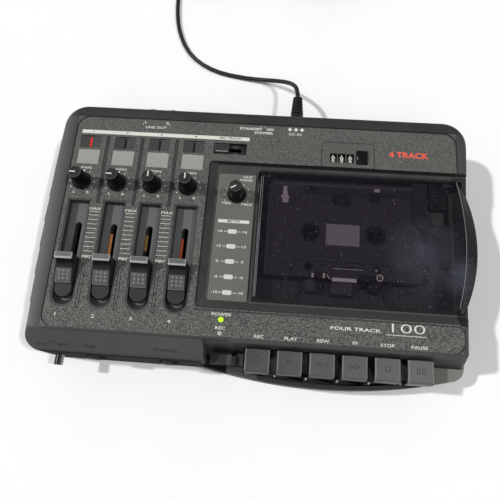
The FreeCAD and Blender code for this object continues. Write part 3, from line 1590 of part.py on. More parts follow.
def deck_plate():
    plate = Solid("deck_plate")
    outline = plate.sketch("outline", deck_low).rounded(
        -S.plate_left, S.plate_right, -S.plate_front, S.plate_back, S.plate_corner_radius)
    plate.pad("sheet", outline, S.deck_thick)
    bores = plate.sketch("bores", 0)
    for x, y in HUBS.values():
        bores.circle(x, y, S.spindle_radius + S.running_gap)
    bores.circle(capstan_x, -S.capstan_y, S.capstan_radius + S.running_gap)
    for x, y in PLATE_BOSSES:
        bores.circle(x, y, S.plate_screw_radius + S.seat_gap)
    plate.cut_through("bores_cut", bores)
    pins = plate.sketch("guide_pins", S.deck_top)
    for x in (S.guide_left, S.guide_right):
        pins.circle(x, -S.guide_y, S.guide_pin_radius)
    plate.pad("guide_pin_pads", pins, S.head_plate_gap + 2 * S.head_plate_thick)
    for number, x in enumerate(ear_places()):
        half = S.hinge_ear_half_depth
        stem = plate.sketch(f"ear_{number}", x, "YZ_Plane").rectangle(
            S.hinge_y - half, S.hinge_y + half, S.deck_top - S.deck_thick / 2, S.hinge_z)
        plate.pad(f"ear_pad_{number}", stem, S.hinge_ear_width)
        head = plate.sketch(f"ear_head_{number}", x, "YZ_Plane").circle(
            S.hinge_y, S.hinge_z, half)
        plate.pad(f"ear_head_pad_{number}", head, S.hinge_ear_width)
    bore = plate.sketch("ear_bore", 0, "YZ_Plane").circle(
        S.hinge_y, S.hinge_z, S.hinge_pin_radius)
    plate.cut_through("ear_bore_cut", bore)
    plate.finish()


def lug_places():
    """Left edges of the two lugs inside the lid."""
    left = -S.lid_left + S.lid_wall + S.hinge_gap
    right = (S.lid_right_back - S.lid_rake - S.lid_wall - S.hinge_gap
             - S.hinge_lug_width)
    return left, right


def ear_places():
    """Left edges of the two ears of the deck plate, on the inner side of the lugs."""
    left, right = lug_places()
    return left + S.hinge_lug_width + S.hinge_gap, right - S.hinge_gap - S.hinge_ear_width


def hinge_pins():
    left, right = lug_places()
    length = S.hinge_lug_width + S.hinge_gap + S.hinge_ear_width
    pins = [rod("left_pin", S.hinge_pin_radius, (left, S.hinge_y, S.hinge_z), length, "x"),
            rod("right_pin", S.hinge_pin_radius,
                (right + S.hinge_lug_width - length, S.hinge_y, S.hinge_z), length, "x")]
    node("lid_hinge_pins", group("pins", *pins))


def head_carriage():
    """The plate that carries the heads and pinch roller into the cassette."""
    plate = Solid("head_plate")
    outline = plate.sketch("outline", head_plate_low).rounded(
        S.head_plate_left, S.head_plate_right, -S.head_plate_front, -S.head_plate_back,
        S.head_plate_thick)
    plate.pad("sheet", outline, S.head_plate_thick)
    slots = plate.sketch("slots", 0)
    reach = S.guide_pin_radius + S.free_gap
    for x in (S.guide_left, S.guide_right):
        slots.stadium(x, -S.guide_y - S.head_travel - reach, -S.guide_y + reach,
                      S.guide_pin_radius + S.running_gap)
    plate.cut_through("slots_cut", slots)
    arm = plate.sketch("arm", head_plate_top).rectangle(
        capstan_x - S.head_plate_thick * 2.4, capstan_x + S.head_plate_thick * 2.4,
        -S.head_plate_front + S.head_plate_thick, -S.roller_rest_y + S.roller_pin_radius * 2)
    plate.pad("arm_pad", arm, S.arm_thick)
    pin = plate.sketch("pin", head_plate_top).circle(
        capstan_x, -S.roller_rest_y, S.roller_pin_radius)
    plate.pad("pin_pad", pin, S.arm_thick + S.roller_height + 2 * S.free_gap)
    plate.finish()
    tip = -S.head_tip_y
    record = box("record_head_block",
                 (S.cassette_x - S.record_head_width / 2, S.cassette_x + S.record_head_width / 2),
                 (tip - S.record_head_depth, tip),
                 (head_plate_top, head_plate_top + S.record_head_height))
    record = eased("record_head", record, S.record_head_width / 4,
                   upright_at((S.cassette_x - S.record_head_width / 2, tip),
                              (S.cassette_x + S.record_head_width / 2, tip)))
    erase = box("erase_head_block",
                (S.erase_head_x - S.erase_head_width / 2, S.erase_head_x + S.erase_head_width / 2),
                (tip - S.erase_head_depth, tip),
                (head_plate_top, head_plate_top + S.erase_head_height))
    erase = eased("erase_head", erase, S.erase_head_width / 4,
                  upright_at((S.erase_head_x - S.erase_head_width / 2, tip),
                             (S.erase_head_x + S.erase_head_width / 2, tip)))
    node("tape_heads", group("heads", record, erase))
    low = head_plate_top + S.arm_thick + S.head_plate_gap
    tyre = rod("roller_tyre", S.roller_radius, (capstan_x, -S.roller_rest_y, low),
               S.roller_height)
    bore = rod("roller_bore", S.roller_pin_radius + S.running_gap,
               (capstan_x, -S.roller_rest_y, low - 1), S.roller_height + 2)
    node("pinch_roller", cut("roller", tyre, bore))


def belt_drive():
    """Motor under the deck, its pulley, the belt and the flywheel on the capstan."""
    motor = rod("motor_can", S.motor_radius, (S.motor_x, S.motor_y, S.motor_low),
                deck_low - S.motor_low)
    bore = rod("motor_bore", S.capstan_radius + S.running_gap,
               (S.motor_x, S.motor_y, S.motor_low - 1), S.motor_shaft_reach + S.free_gap + 1)
    node("drive_motor", cut("motor", eased("motor_eased", motor, S.capstan_radius,
                                           level_at(S.motor_low)), bore))
    drum("motor_pulley", S.motor_x, S.motor_y, S.pulley_radius,
         S.motor_low - S.head_plate_gap, S.motor_low + S.motor_shaft_reach)
    drum("capstan_flywheel", capstan_x, -S.capstan_y, S.flywheel_radius,
         S.flywheel_high, S.capstan_top)
    belt = doc.addObject("Part::Feature", "belt")
    belt.Shape = belt_shape()
    node("drive_belt", belt)


def drum(name, x, y, radius, high, shaft_high):
    """A wheel with a belt groove on an upright shaft that ends in a short tail below it."""
    wheel = Solid(name)
    core, low = radius - S.groove_cut, S.flywheel_low
    profile = wheel.sketch("profile", 0, "XZ_Plane").outline([
        (0.0, low - S.capstan_tail), (S.capstan_radius, low - S.capstan_tail),
        (S.capstan_radius, low), (radius, low), (radius, S.belt_low - S.belt_thick / 2),
        (core, S.belt_low - S.belt_thick / 2), (core, S.belt_high + S.belt_thick / 2),
        (radius, S.belt_high + S.belt_thick / 2), (radius, high),
        (S.capstan_radius, high), (S.capstan_radius, shaft_high), (0.0, shaft_high)])
    wheel.turn("body", profile)
    wheel.finish()
    place(wheel.body, x, y)


def belt_shape():
    """A flat belt round both grooves: a loop of two arcs and two tangents."""
    motor = Vector(S.motor_x, S.motor_y, S.belt_low)
    wheel = Vector(capstan_x, -S.capstan_y, S.belt_low)

    def loop(offset):
        small = S.pulley_radius - S.groove_cut + S.head_plate_gap + offset
        large = S.flywheel_radius - S.groove_cut + S.head_plate_gap + offset
        along = motor - wheel
        heading = math.atan2(along.y, along.x)
        lean = math.acos((large - small) / along.Length)

        def point(centre, radius, angle):
            return centre + Vector(math.cos(angle), math.sin(angle), 0) * float(radius)
        high, low = heading + lean, heading - lean
        big = Part.Arc(point(wheel, large, high), point(wheel, large, heading + math.pi),
                       point(wheel, large, low)).toShape()
        little = Part.Arc(point(motor, small, low), point(motor, small, heading),
                          point(motor, small, high)).toShape()
        sides = [Part.makeLine(point(wheel, large, low), point(motor, small, low)),
                 Part.makeLine(point(motor, small, high), point(wheel, large, high))]
        return Part.Face(Part.Wire([big, sides[0], little, sides[1]]))
    ring = loop(S.belt_thick).cut(loop(0.0))
    return ring.extrude(Vector(0, 0, S.belt_high - S.belt_low))


# ---------------------------------------------------------------- keys

def key_names():
    return ("rec_key", "play_key", "rewind_key", "forward_key", "stop_key", "pause_key")


def transport_key(number, name):
    """A piano key: a folded cap on a lever that turns on the common shaft behind the wall."""
    key = Solid(name)
    top = S.key_top - S.pivot_z
    back, face = -S.key_back + S.pivot_y, -S.key_face + S.pivot_y
    low, thick = S.key_skirt_bottom - S.pivot_z, S.key_thick
    cap = key.sketch("cap", 0, "YZ_Plane").outline([
        (face, low), (face + thick, low), (face + thick, top - 2 * thick),
        (face + 2 * thick, top - thick), (back, top - thick), (back, top), (face, top)])
    key.pad("cap_pad", cap, S.key_width, Midplane=True)
    key.soften("fold", S.key_fold_radius, lambda edge: all(
        abs(p.y - face) < 0.01 and abs(p.z - top) < 0.01 for p in ends(edge)))
    side = S.key_width / 2

    def rim(edge):
        middle = edge.valueAt((edge.FirstParameter + edge.LastParameter) / 2)
        outer = middle.z > top - 0.01 or middle.y < face + S.key_fold_radius * 0.5
        return (abs(abs(middle.x) - side) < 0.01 and outer and
                all(abs(abs(p.x) - side) < 0.01 for p in ends(edge)) and middle.z > low + thick)
    key.soften("rim", S.key_side_radius, rim)
    lever = key.sketch("lever", 0, "YZ_Plane").outline([
        (face + 2 * thick, top - thick / 2), (face + 2 * thick, top - 3 * thick),
        (back, low - thick), (0.0, -S.key_boss_radius * 0.7), (0.0, S.key_boss_radius * 0.7),
        (back + thick, low + 3 * thick), (back - thick / 2, top - thick / 2)])
    key.pad("lever_pad", lever, S.key_lever_width, Midplane=True)
    boss = key.sketch("boss", 0, "YZ_Plane").circle(0.0, 0.0, S.key_boss_radius)
    key.pad("boss_pad", boss, S.key_boss_width, Midplane=True)
    bore = key.sketch("bore", 0, "YZ_Plane").circle(0.0, 0.0, S.pivot_radius + S.running_gap)
    key.cut_through("bore_cut", bore)
    key.finish()
    place(key.body, S.key_first_x + number * S.key_pitch, -S.pivot_y, S.pivot_z)


def key_shaft():
    (left, _), (_, right) = shaft_posts()
    node("key_shaft", rod("shaft", S.pivot_radius, (left, -S.pivot_y, S.pivot_z),
                          right - left, "x"))


# ---------------------------------------------------------------- lid

def cassette_lid():
    """Clear lid over the deck: raked right side, open at the back, hung on two lugs."""
    lid = Solid("cassette_lid")
    low, high = step_z + S.lid_gap, step_z + S.lid_gap + S.lid_height
    wall, edge = S.lid_wall, S.lid_edge

    def ring(name, z, lean, inset=0.0, back_inset=0.0):
        """Outline at one height: lean is 0 at the foot and 1 where the rake ends."""
        left = -S.lid_left + S.lid_draft * lean + inset
        front = -S.lid_front + S.lid_draft * lean + inset
        right_front = S.lid_right_front - S.lid_rake * lean - inset
        right_back = S.lid_right_back - S.lid_rake * lean - inset
        bow = S.lid_bow_radius + (S.lid_top_bow_radius - S.lid_bow_radius) * lean
        back = S.lid_back - back_inset
        return lid.sketch(name, z).outline([
            (left, front), (right_front, front, bow), (right_back, back), (left, back)])
    lid.loft("block", ring("foot", low, 0.0), ring("shoulder", high - edge, 1.0),
             ring("top", high, 1.0, edge, edge))
    lid.loft("inside", ring("inner_foot", low, 0.0, wall, -wall),
             ring("inner_top", high - wall, 1.0, wall, -wall), cut=True)
    heel = lid.sketch("heel", low - 1).rectangle(
        -2 * S.lid_left - 1, 2 * S.lid_right_back, S.hinge_y - S.hinge_lug_radius - S.hinge_gap,
        2 * S.lid_back)
    lid.pocket("heel_cut", heel, S.lid_height - wall + 1, Reversed=True)
    for number, x in enumerate(lug_places()):
        reach = S.hinge_lug_radius
        web = lid.sketch(f"web_{number}", x, "YZ_Plane").rectangle(
            S.hinge_y - reach, S.hinge_y + reach, S.hinge_z, high - wall / 2)
        lid.pad(f"web_pad_{number}", web, S.hinge_lug_width)
        eye = lid.sketch(f"eye_{number}", x, "YZ_Plane").circle(
            S.hinge_y, S.hinge_z, S.hinge_lug_radius)
        lid.pad(f"eye_pad_{number}", eye, S.hinge_lug_width)
    bore = lid.sketch("bore", 0, "YZ_Plane").circle(
        S.hinge_y, S.hinge_z, S.hinge_pin_radius + S.running_gap)
    lid.cut_through("bore_cut", bore)
    lid.finish()


# ---------------------------------------------------------------- sockets, switch, board

def rear_pieces():
    jacks = []
    for number, x in enumerate(line_jack_places()):
        inner = S.case_back - S.line_jack_reach
        body = rod(f"line_body_{number}", S.line_jack_body_radius, (x, inner, S.rear_z),
                   S.line_jack_reach, "y")
        shell = rod(f"line_shell_{number}", S.line_jack_radius, (x, S.case_back, S.rear_z),
                    S.line_jack_length, "y")
        bore = rod(f"line_hole_{number}", S.line_jack_hole_radius,
                   (x, S.case_back - S.line_jack_length, S.rear_z), 3 * S.line_jack_length, "y")
        jacks.append(cut(f"line_jack_{number}", fuse(f"line_solid_{number}", body, shell), bore))
    node("line_out_jacks", group("line_jacks", *jacks))
    half = S.dc_socket_side / 2
    block = box("dc_block", (S.dc_x - half, S.dc_x + half),
                (inner_back - S.dc_socket_reach + S.case_wall, inner_back),
                (S.rear_z - half, S.rear_z + half))
    mouth = rod("dc_mouth", S.dc_mouth_radius - S.seat_gap, (S.dc_x, inner_back, S.rear_z),
                S.case_wall, "y")
    bore = rod("dc_bore", S.dc_socket_radius,
               (S.dc_x, S.case_back - S.plug_barrel_length - S.lid_gap, S.rear_z),
               2 * S.dc_socket_reach, "y")
    node("dc_socket", cut("dc_jack", fuse("dc_solid", block, mouth), bore))
    knob_half, high_half = S.switch_knob_width / 2, S.switch_knob_height / 2
    knob = box("switch_knob", (-knob_half, knob_half),
               (inner_back - S.switch_flange, S.case_back + S.switch_knob_proud),
               (S.rear_z - high_half, S.rear_z + high_half))
    flange = box("switch_flange", (-2 * knob_half, 2 * knob_half),
                 (inner_back - S.switch_flange, inner_back - 2 * S.seat_gap),
                 (S.rear_z - 2 * high_half, S.rear_z + 2 * high_half))
    node("power_switch", fuse("switch", knob, flange))


def front_pieces():
    jacks = []
    for number, x in enumerate((-S.input_jack_x, -S.phones_jack_x)):
        face = -S.case_front
        sleeve = rod(f"phone_sleeve_{number}", S.phone_sleeve_radius, (x, face, S.front_jack_z),
                     S.phone_jack_reach, "y")
        nut = rod(f"phone_nut_{number}", S.phone_nut_radius,
                  (x, face - S.phone_nut_thick, S.front_jack_z), S.phone_nut_thick, "y")
        bore = rod(f"phone_bore_{number}", S.phone_jack_radius,
                   (x, face - 2 * S.phone_nut_thick, S.front_jack_z),
                   S.phone_jack_reach, "y")
        jacks.append(cut(f"phone_jack_{number}", fuse(f"phone_{number}", sleeve, nut), bore))
    node("front_jacks", group("phone_jacks", *jacks))
    face = -S.case_front - S.lid_gap
    cap = rod("trim_cap", S.trim_radius, (-S.trim_x, face - S.trim_length, S.trim_z),
              S.trim_length, "y")
    stem = rod("trim_stem", S.trim_radius / 2, (-S.trim_x, face - 1, S.trim_z),
               1 + S.lid_gap + 2 * S.case_wall, "y")
    node("trim_knob", fuse("trim", cap, stem))


def main_board():
    low = floor_top + S.board_post
    board = box("board", (-S.board_left, -S.board_right), (-S.board_front, S.board_back),
                (low, low + S.board_thick))
    holes = [rod(f"board_hole_{number}", S.screw_radius, (x, y, low - 1), S.board_thick + 2)
             for number, (x, y) in enumerate(board_corners())]
    node("main_board", cut("main_circuit", board, *holes))


# ---------------------------------------------------------------- power lead

CORD_ROUTE = [
    (22.4, 111.7, 31.0),
    (22.1, 120.5, 29.2),
    (17.8, 131.0, 21.0),
    (8.5, 140.0, 10.5),
    (-4.5, 145.2, 3.6),
    (-22.0, 147.6, 1.7),
    (-46.0, 152.2, 1.7),
    (-67.5, 165.8, 1.7),
    (-79.5, 188.5, 1.7),
    (-84.2, 213.0, 1.7),
    (-84.8, 236.5, 1.7),
    (-83.6, 258.0, 1.7),
]
COIL_CENTRE = (-57.0, 258.0, 0.05)
TAIL_ROUTE = [
    (-57.0, 284.6, 1.7),
    (-47.5, 284.0, 1.7),
    (-37.0, 279.5, 2.5),
    (-27.0, 273.0, 5.0),
    (-16.5, 269.0, 8.0),
    (-6.0, 268.0, 9.0),
]


def cord_path(points):
    """Straight runs joined by tangent arcs as large as the runs beside them allow."""
    spots = [Vector(*point) for point in points]
    edges, start = [], spots[0]
    for before, here, after in zip(spots, spots[1:], spots[2:]):
        into, out = (here - before).normalize(), (after - here).normalize()
        turn = into.getAngle(out)
        shorter = min((here - before).Length, (after - here).Length)
        reach = 0.45 * shorter
        radius = reach / math.tan(turn / 2)
        entry, leave = here - into * reach, here + out * reach
        bisector = (out - into).normalize()
        middle = here + bisector * (radius / math.cos(turn / 2) - radius)
        edges.append(Part.LineSegment(start, entry).toShape())
        edges.append(Part.Arc(entry, middle, leave).toShape())
        print(f"cord bend {math.degrees(turn):.0f} degrees, radius {radius:.1f} mm")
        start = leave
    edges.append(Part.LineSegment(start, spots[-1]).toShape())
    return Part.Wire(edges)


def cord_tube(points):
    path = cord_path(points)
    first = Vector(*points[1]) - Vector(*points[0])
    circle = Part.Wire(Part.makeCircle(float(S.cord_radius), Vector(*points[0]), first))
    tube = path.makePipeShell([circle], True, False)
    share = tube.Volume / (path.Length * math.pi * float(S.cord_radius) ** 2)
    print(f"cord run {path.Length:.1f} mm, volume over section times length {share:.4f}")
    return tube


def power_lead():
    """Plug in the socket, its lead, a coil of the rest and the mains adapter."""
    plug = Solid("dc_plug")
    radius, end, grip = S.plug_radius, S.plug_end_radius, S.plug_grip
    barrel = S.dc_socket_radius - S.running_gap
    profile = plug.sketch("profile", 0).outline([
        (0.0, -S.plug_barrel_length), (barrel, -S.plug_barrel_length), (barrel, 0.0),
        (radius - S.plug_rib, 0.0), (radius, S.plug_rib), (radius, grip),
        (end, S.plug_length - S.plug_rib), (end - S.plug_rib, S.plug_length),
        (0.0, S.plug_length)])
    plug.turn("body", profile)
    plug.finish()
    place(plug.body, S.dc_x, S.case_back + S.plug_stand_off, S.rear_z)
    lead = doc.addObject("Part::Feature", "lead")
    lead.Shape = Part.makeCompound([cord_tube(CORD_ROUTE), cord_tube(TAIL_ROUTE)])
    node("dc_cord", lead)
    outer = rod("coil_outer", S.coil_mid_radius + S.coil_width / 2, COIL_CENTRE, S.coil_height)
    inner = rod("coil_inner", S.coil_mid_radius - S.coil_width / 2, COIL_CENTRE, S.coil_height)
    node("dc_coil", cut("coil", outer, inner))
    adapter()


def adapter():
    x, y, z = TAIL_ROUTE[-1]
    start = x + S.adapter_relief_length
    block = box("adapter_block", (start, start + S.adapter_length),
                (y - S.adapter_width / 2, y + S.adapter_width / 2),
                (0.0, S.adapter_height))
    block = eased("adapter_eased", block, S.adapter_edge, lambda edge: True)
    relief = rod("adapter_relief", S.adapter_relief_radius, (x, y, z),
                 S.adapter_relief_length + S.adapter_edge, "x")
    prongs = [box(f"prong_{number}", (start + S.adapter_length - 1,
                                      start + S.adapter_length + S.prong_length),
                  (y + side * S.prong_spacing / 2 - S.prong_thick / 2,
                   y + side * S.prong_spacing / 2 + S.prong_thick / 2),
                  (S.adapter_height / 2 - S.prong_width / 2,
                   S.adapter_height / 2 + S.prong_width / 2))
              for number, side in enumerate((-1, 1))]
    node("mains_adapter", fuse("adapter", block, relief, *prongs))


# ---------------------------------------------------------------- build and write

def build():
    top_case()
    bottom_case()
    feet_and_screws()
    main_board()
    meter_strip()
    meter_lenses()
    signal_lamps()
    track_tiles()
    control_pots()
    rotary_knobs()
    for number in range(int(S.channel_count)):
        fader_knob(number)
    track_selector()
    counter_frame()
    counter_wheels()
    cassette()
    reel("supply", S.supply_pack_radius)
    reel("takeup", S.takeup_pack_radius)
    deck_plate()
    head_carriage()
    belt_drive()
    for number, name in enumerate(key_names()):
        transport_key(number, name)
    key_shaft()
    cassette_lid()
    hinge_pins()
    rear_pieces()
    front_pieces()
    power_lead()


def check():
    doc.recompute()
    for thing in doc.Objects:
        if {"Invalid", "Error"} & set(thing.State):
            raise RuntimeError(f"{thing.Name} failed: {thing.State}")
    for thing in PARTS:
        if thing.Shape.isNull() or not thing.Shape.isValid() or thing.Shape.Volume <= 0:
            raise RuntimeError(f"{thing.Label} has no valid shape")


def write():
    os.makedirs("parts", exist_ok=True)
    for thing in PARTS:
        thing.Shape.exportStep(f"parts/{thing.Label}.step")


build()
check()
write()
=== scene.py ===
import math

import bpy
from mathutils import Matrix, Vector


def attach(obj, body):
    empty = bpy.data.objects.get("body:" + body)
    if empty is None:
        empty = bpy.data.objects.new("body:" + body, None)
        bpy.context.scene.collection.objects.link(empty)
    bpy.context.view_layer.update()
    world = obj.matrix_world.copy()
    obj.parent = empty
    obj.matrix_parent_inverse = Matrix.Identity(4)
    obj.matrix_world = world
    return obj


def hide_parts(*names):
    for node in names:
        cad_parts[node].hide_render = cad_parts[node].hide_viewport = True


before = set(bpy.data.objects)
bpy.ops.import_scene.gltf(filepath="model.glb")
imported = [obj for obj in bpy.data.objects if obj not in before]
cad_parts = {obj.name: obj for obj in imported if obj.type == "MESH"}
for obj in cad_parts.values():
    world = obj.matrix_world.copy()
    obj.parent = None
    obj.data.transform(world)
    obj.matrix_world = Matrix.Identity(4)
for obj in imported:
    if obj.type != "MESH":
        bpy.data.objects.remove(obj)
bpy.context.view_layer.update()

# Four track cassette recorder. Lengths are written in millimetres and turned into metres by MM.
# The origin lies on the table under the middle of the recorder: +X right, +Y back, +Z up.

MM = 0.001
SUNK = 0.02             # how deep a laid-on detail is set into what carries it
PANEL = 48.0            # heights of the faces that carry details
METER = 44.2
NOSE = 42.0
CASSETTE = 40.35
DECK = 30.0
APRON_EDGE, APRON_DEPTH, APRON_DROP = -71.5, 11.8, 6.0
CHANNELS = range(4)
PITCH = 23.9            # from channel to channel
FIRST_PAN, FIRST_FADER, FIRST_LADDER = -119.3, -118.7, -107.3
KEYS = ("rec_key", "play_key", "rewind_key", "forward_key", "stop_key", "pause_key")
FIRST_KEY, KEY_PITCH = 5.95, 19.92
KEY_MARK = (38.9, 39.12)
REELS = ((35.05, 4.15), (77.55, 4.15))


# ---- camera

def added(thing):
    """Puts a new object into the scene."""
    bpy.context.scene.collection.objects.link(thing)
    return thing


def set_camera():
    data = bpy.data.cameras.new("camera")
    camera = added(bpy.data.objects.new("camera", data))
    data.sensor_width, data.lens = 36.0, 37.44
    data.clip_start, data.clip_end = 0.01, 10.0
    camera.location = (0.0136, -0.1115, 0.364)
    right, up = Vector((0.9968, 0.0744, -0.0297)), Vector((-0.0621, 0.9520, 0.2998))
    camera.rotation_euler = Matrix((right, up, right.cross(up))).transposed().to_euler()
    bpy.context.scene.camera = camera


# ---- tools of the workshop

def rgb(red, green, blue):
    """A colour as it shows on a screen, turned into light."""
    def light(value):
        value /= 255
        return value / 12.92 if value <= 0.04045 else ((value + 0.055) / 1.055) ** 2.4
    return light(red), light(green), light(blue), 1.0


def grey(value):
    return rgb(value, value, value)


def deselect():
    if bpy.context.object and bpy.context.object.mode == "EDIT":
        leave()
    for thing in bpy.context.selected_objects:
        thing.select_set(False)


def pick(*things):
    deselect()
    for thing in things:
        thing.select_set(True)
    bpy.context.view_layer.objects.active = things[0]


def edit():
    bpy.ops.object.mode_set(mode="EDIT")


def leave():
    bpy.ops.object.mode_set(mode="OBJECT")


def named(name):
    thing = bpy.context.object
    thing.name = thing.data.name = name
    return thing


def settle(thing, location=(0, 0, 0), turn=(0, 0, 0), scale=(1, 1, 1)):
    """Puts a thing in place and leaves that place in its mesh."""
    pick(thing)
    thing.scale = scale
    thing.rotation_euler = [math.radians(angle) for angle in turn]
    thing.location = [c * MM for c in location]
    bpy.ops.object.transform_apply(location=True, rotation=True, scale=True)
    return thing


def set_out(model, places, turns=None, names=None):
    """Sets a piece out at several places, turned about Z. The first takes the piece itself and
    the others take copies, each with its own mesh."""
    pieces = [model] + [added(model.copy()) for _ in places[1:]]
    for copied in pieces[1:]:
        copied.data = model.data.copy()
    for n, piece in enumerate(pieces):
        settle(piece, places[n], (0, 0, turns[n] if turns else 0))
        piece.name = piece.data.name = names[n] if names else model.name
    return pieces


def joined(name, things):
    pick(*things)
    if len(things) > 1:
        bpy.ops.object.join()
    return named(name)


def choose(thing, kind, test):
    """Selects the vertices or faces that pass a test of their place and normal."""
    bpy.ops.mesh.select_all(action="DESELECT")
    leave()
    if kind == "VERT":
        for point in thing.data.vertices:
            point.select = test(point.co / MM)
    else:
        for face in thing.data.polygons:
            face.select = test(face.center / MM, face.normal)
    edit()
    bpy.ops.mesh.select_mode(type=kind)


def start_line(name, points):
    """Draws an open line point by point, in edit mode, with all of it selected."""
    deselect()
    bpy.ops.mesh.primitive_plane_add(size=MM)
    thing = named(name)
    edit()
    bpy.ops.mesh.select_mode(type="VERT")
    bpy.ops.mesh.merge(type="CENTER")
    bpy.ops.transform.translate(value=Vector(points[0]) * MM)
    for here, there in zip(points, points[1:]):
        step = (Vector(there) - Vector(here)) * MM
        bpy.ops.mesh.extrude_vertices_move(TRANSFORM_OT_translate={"value": step})
    bpy.ops.mesh.select_all(action="SELECT")
    return thing


def tidy_mesh(shade=30.0):
    """Merges doubles, turns the faces outwards and smooths all but the sharp edges."""
    bpy.ops.mesh.select_all(action="SELECT")
    bpy.ops.mesh.remove_doubles(threshold=0.002 * MM)
    bpy.ops.mesh.normals_make_consistent(inside=False)
    leave()
    bpy.ops.object.shade_smooth_by_angle(angle=math.radians(shade))


def pull(step):
    """Closes the selected line with a face and pulls that face out by a step."""
    bpy.ops.mesh.edge_face_add()
    bpy.ops.mesh.extrude_region_move(TRANSFORM_OT_translate={"value": [c * MM for c in step]})


def turned(name, profile, steps):
    """A lathe piece: its profile holds radius and height, on the axis at both ends."""
    thing = start_line(name, [(radius, 0, height) for radius, height in profile])
    bpy.ops.mesh.spin(steps=steps, angle=2 * math.pi, center=(0, 0, 0), axis=(0, 0, 1))
    tidy_mesh()
    return thing


def prism(name, points, step, shade=30.0):
    """An outline drawn point by point, closed by a face and pulled out by a step."""
    thing = start_line(name, points)
    pull(step)
    tidy_mesh(shade)
    return thing


def slab(name, outline, low, high, bevel=0.0, segments=2):
    """A plate cut to an outline, from one height to another, with its edges eased."""
    thing = prism(name, [(x, y, low) for x, y in outline], (0, 0, high - low))
    if bevel:
        ease(thing, bevel, segments)
    return thing


def bar_along(name, x, width, section, shade=30.0):
    """A bar along X with one section, given as depth and height."""
    return prism(name, [(x, y, z) for y, z in section], (width, 0, 0), shade)


def ease(thing, width, segments=2, angle=30.0):
    """Rounds the sharp edges."""
    pick(thing)
    rounding = thing.modifiers.new("rounding", "BEVEL")
    rounding.width, rounding.segments = width * MM, segments
    rounding.limit_method, rounding.angle_limit = "ANGLE", math.radians(angle)
    bpy.ops.object.modifier_apply(modifier=rounding.name)
    bpy.ops.object.shade_smooth_by_angle(angle=math.radians(angle))
    return thing


def block(name, x, y, z, bevel=0.0, segments=2):
    return slab(name, [(x[0], y[0]), (x[1], y[0]), (x[1], y[1]), (x[0], y[1])], z[0], z[1],
                bevel, segments)


def arc(centre, radius, first, last, steps):
    """Points along an arc, in degrees."""
    angles = [math.radians(first + (last - first) * n / steps) for n in range(steps + 1)]
    return [(centre[0] + radius * math.cos(a), centre[1] + radius * math.sin(a)) for a in angles]


def ring(name, outline, inner, low, high):
    """A raised outline: its inside sinks by four fifths of its height."""
    made = start_line(name, [(x, y, low) for x, y in outline])
    pull((0, 0, high - low))
    bpy.ops.mesh.inset(thickness=inner * MM)
    bpy.ops.transform.translate(value=(0, 0, (low - high) * 0.8 * MM))
    tidy_mesh()
    return made


def dress(thing, material, slot, body="case", *nodes):
    """Gives a piece its material, its body and the nodes it stands for."""
    thing.data.materials.clear()
    thing.data.materials.append(material)
    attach(thing, body)
    if nodes:
        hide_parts(*nodes)
    return thing


# ---- finishes

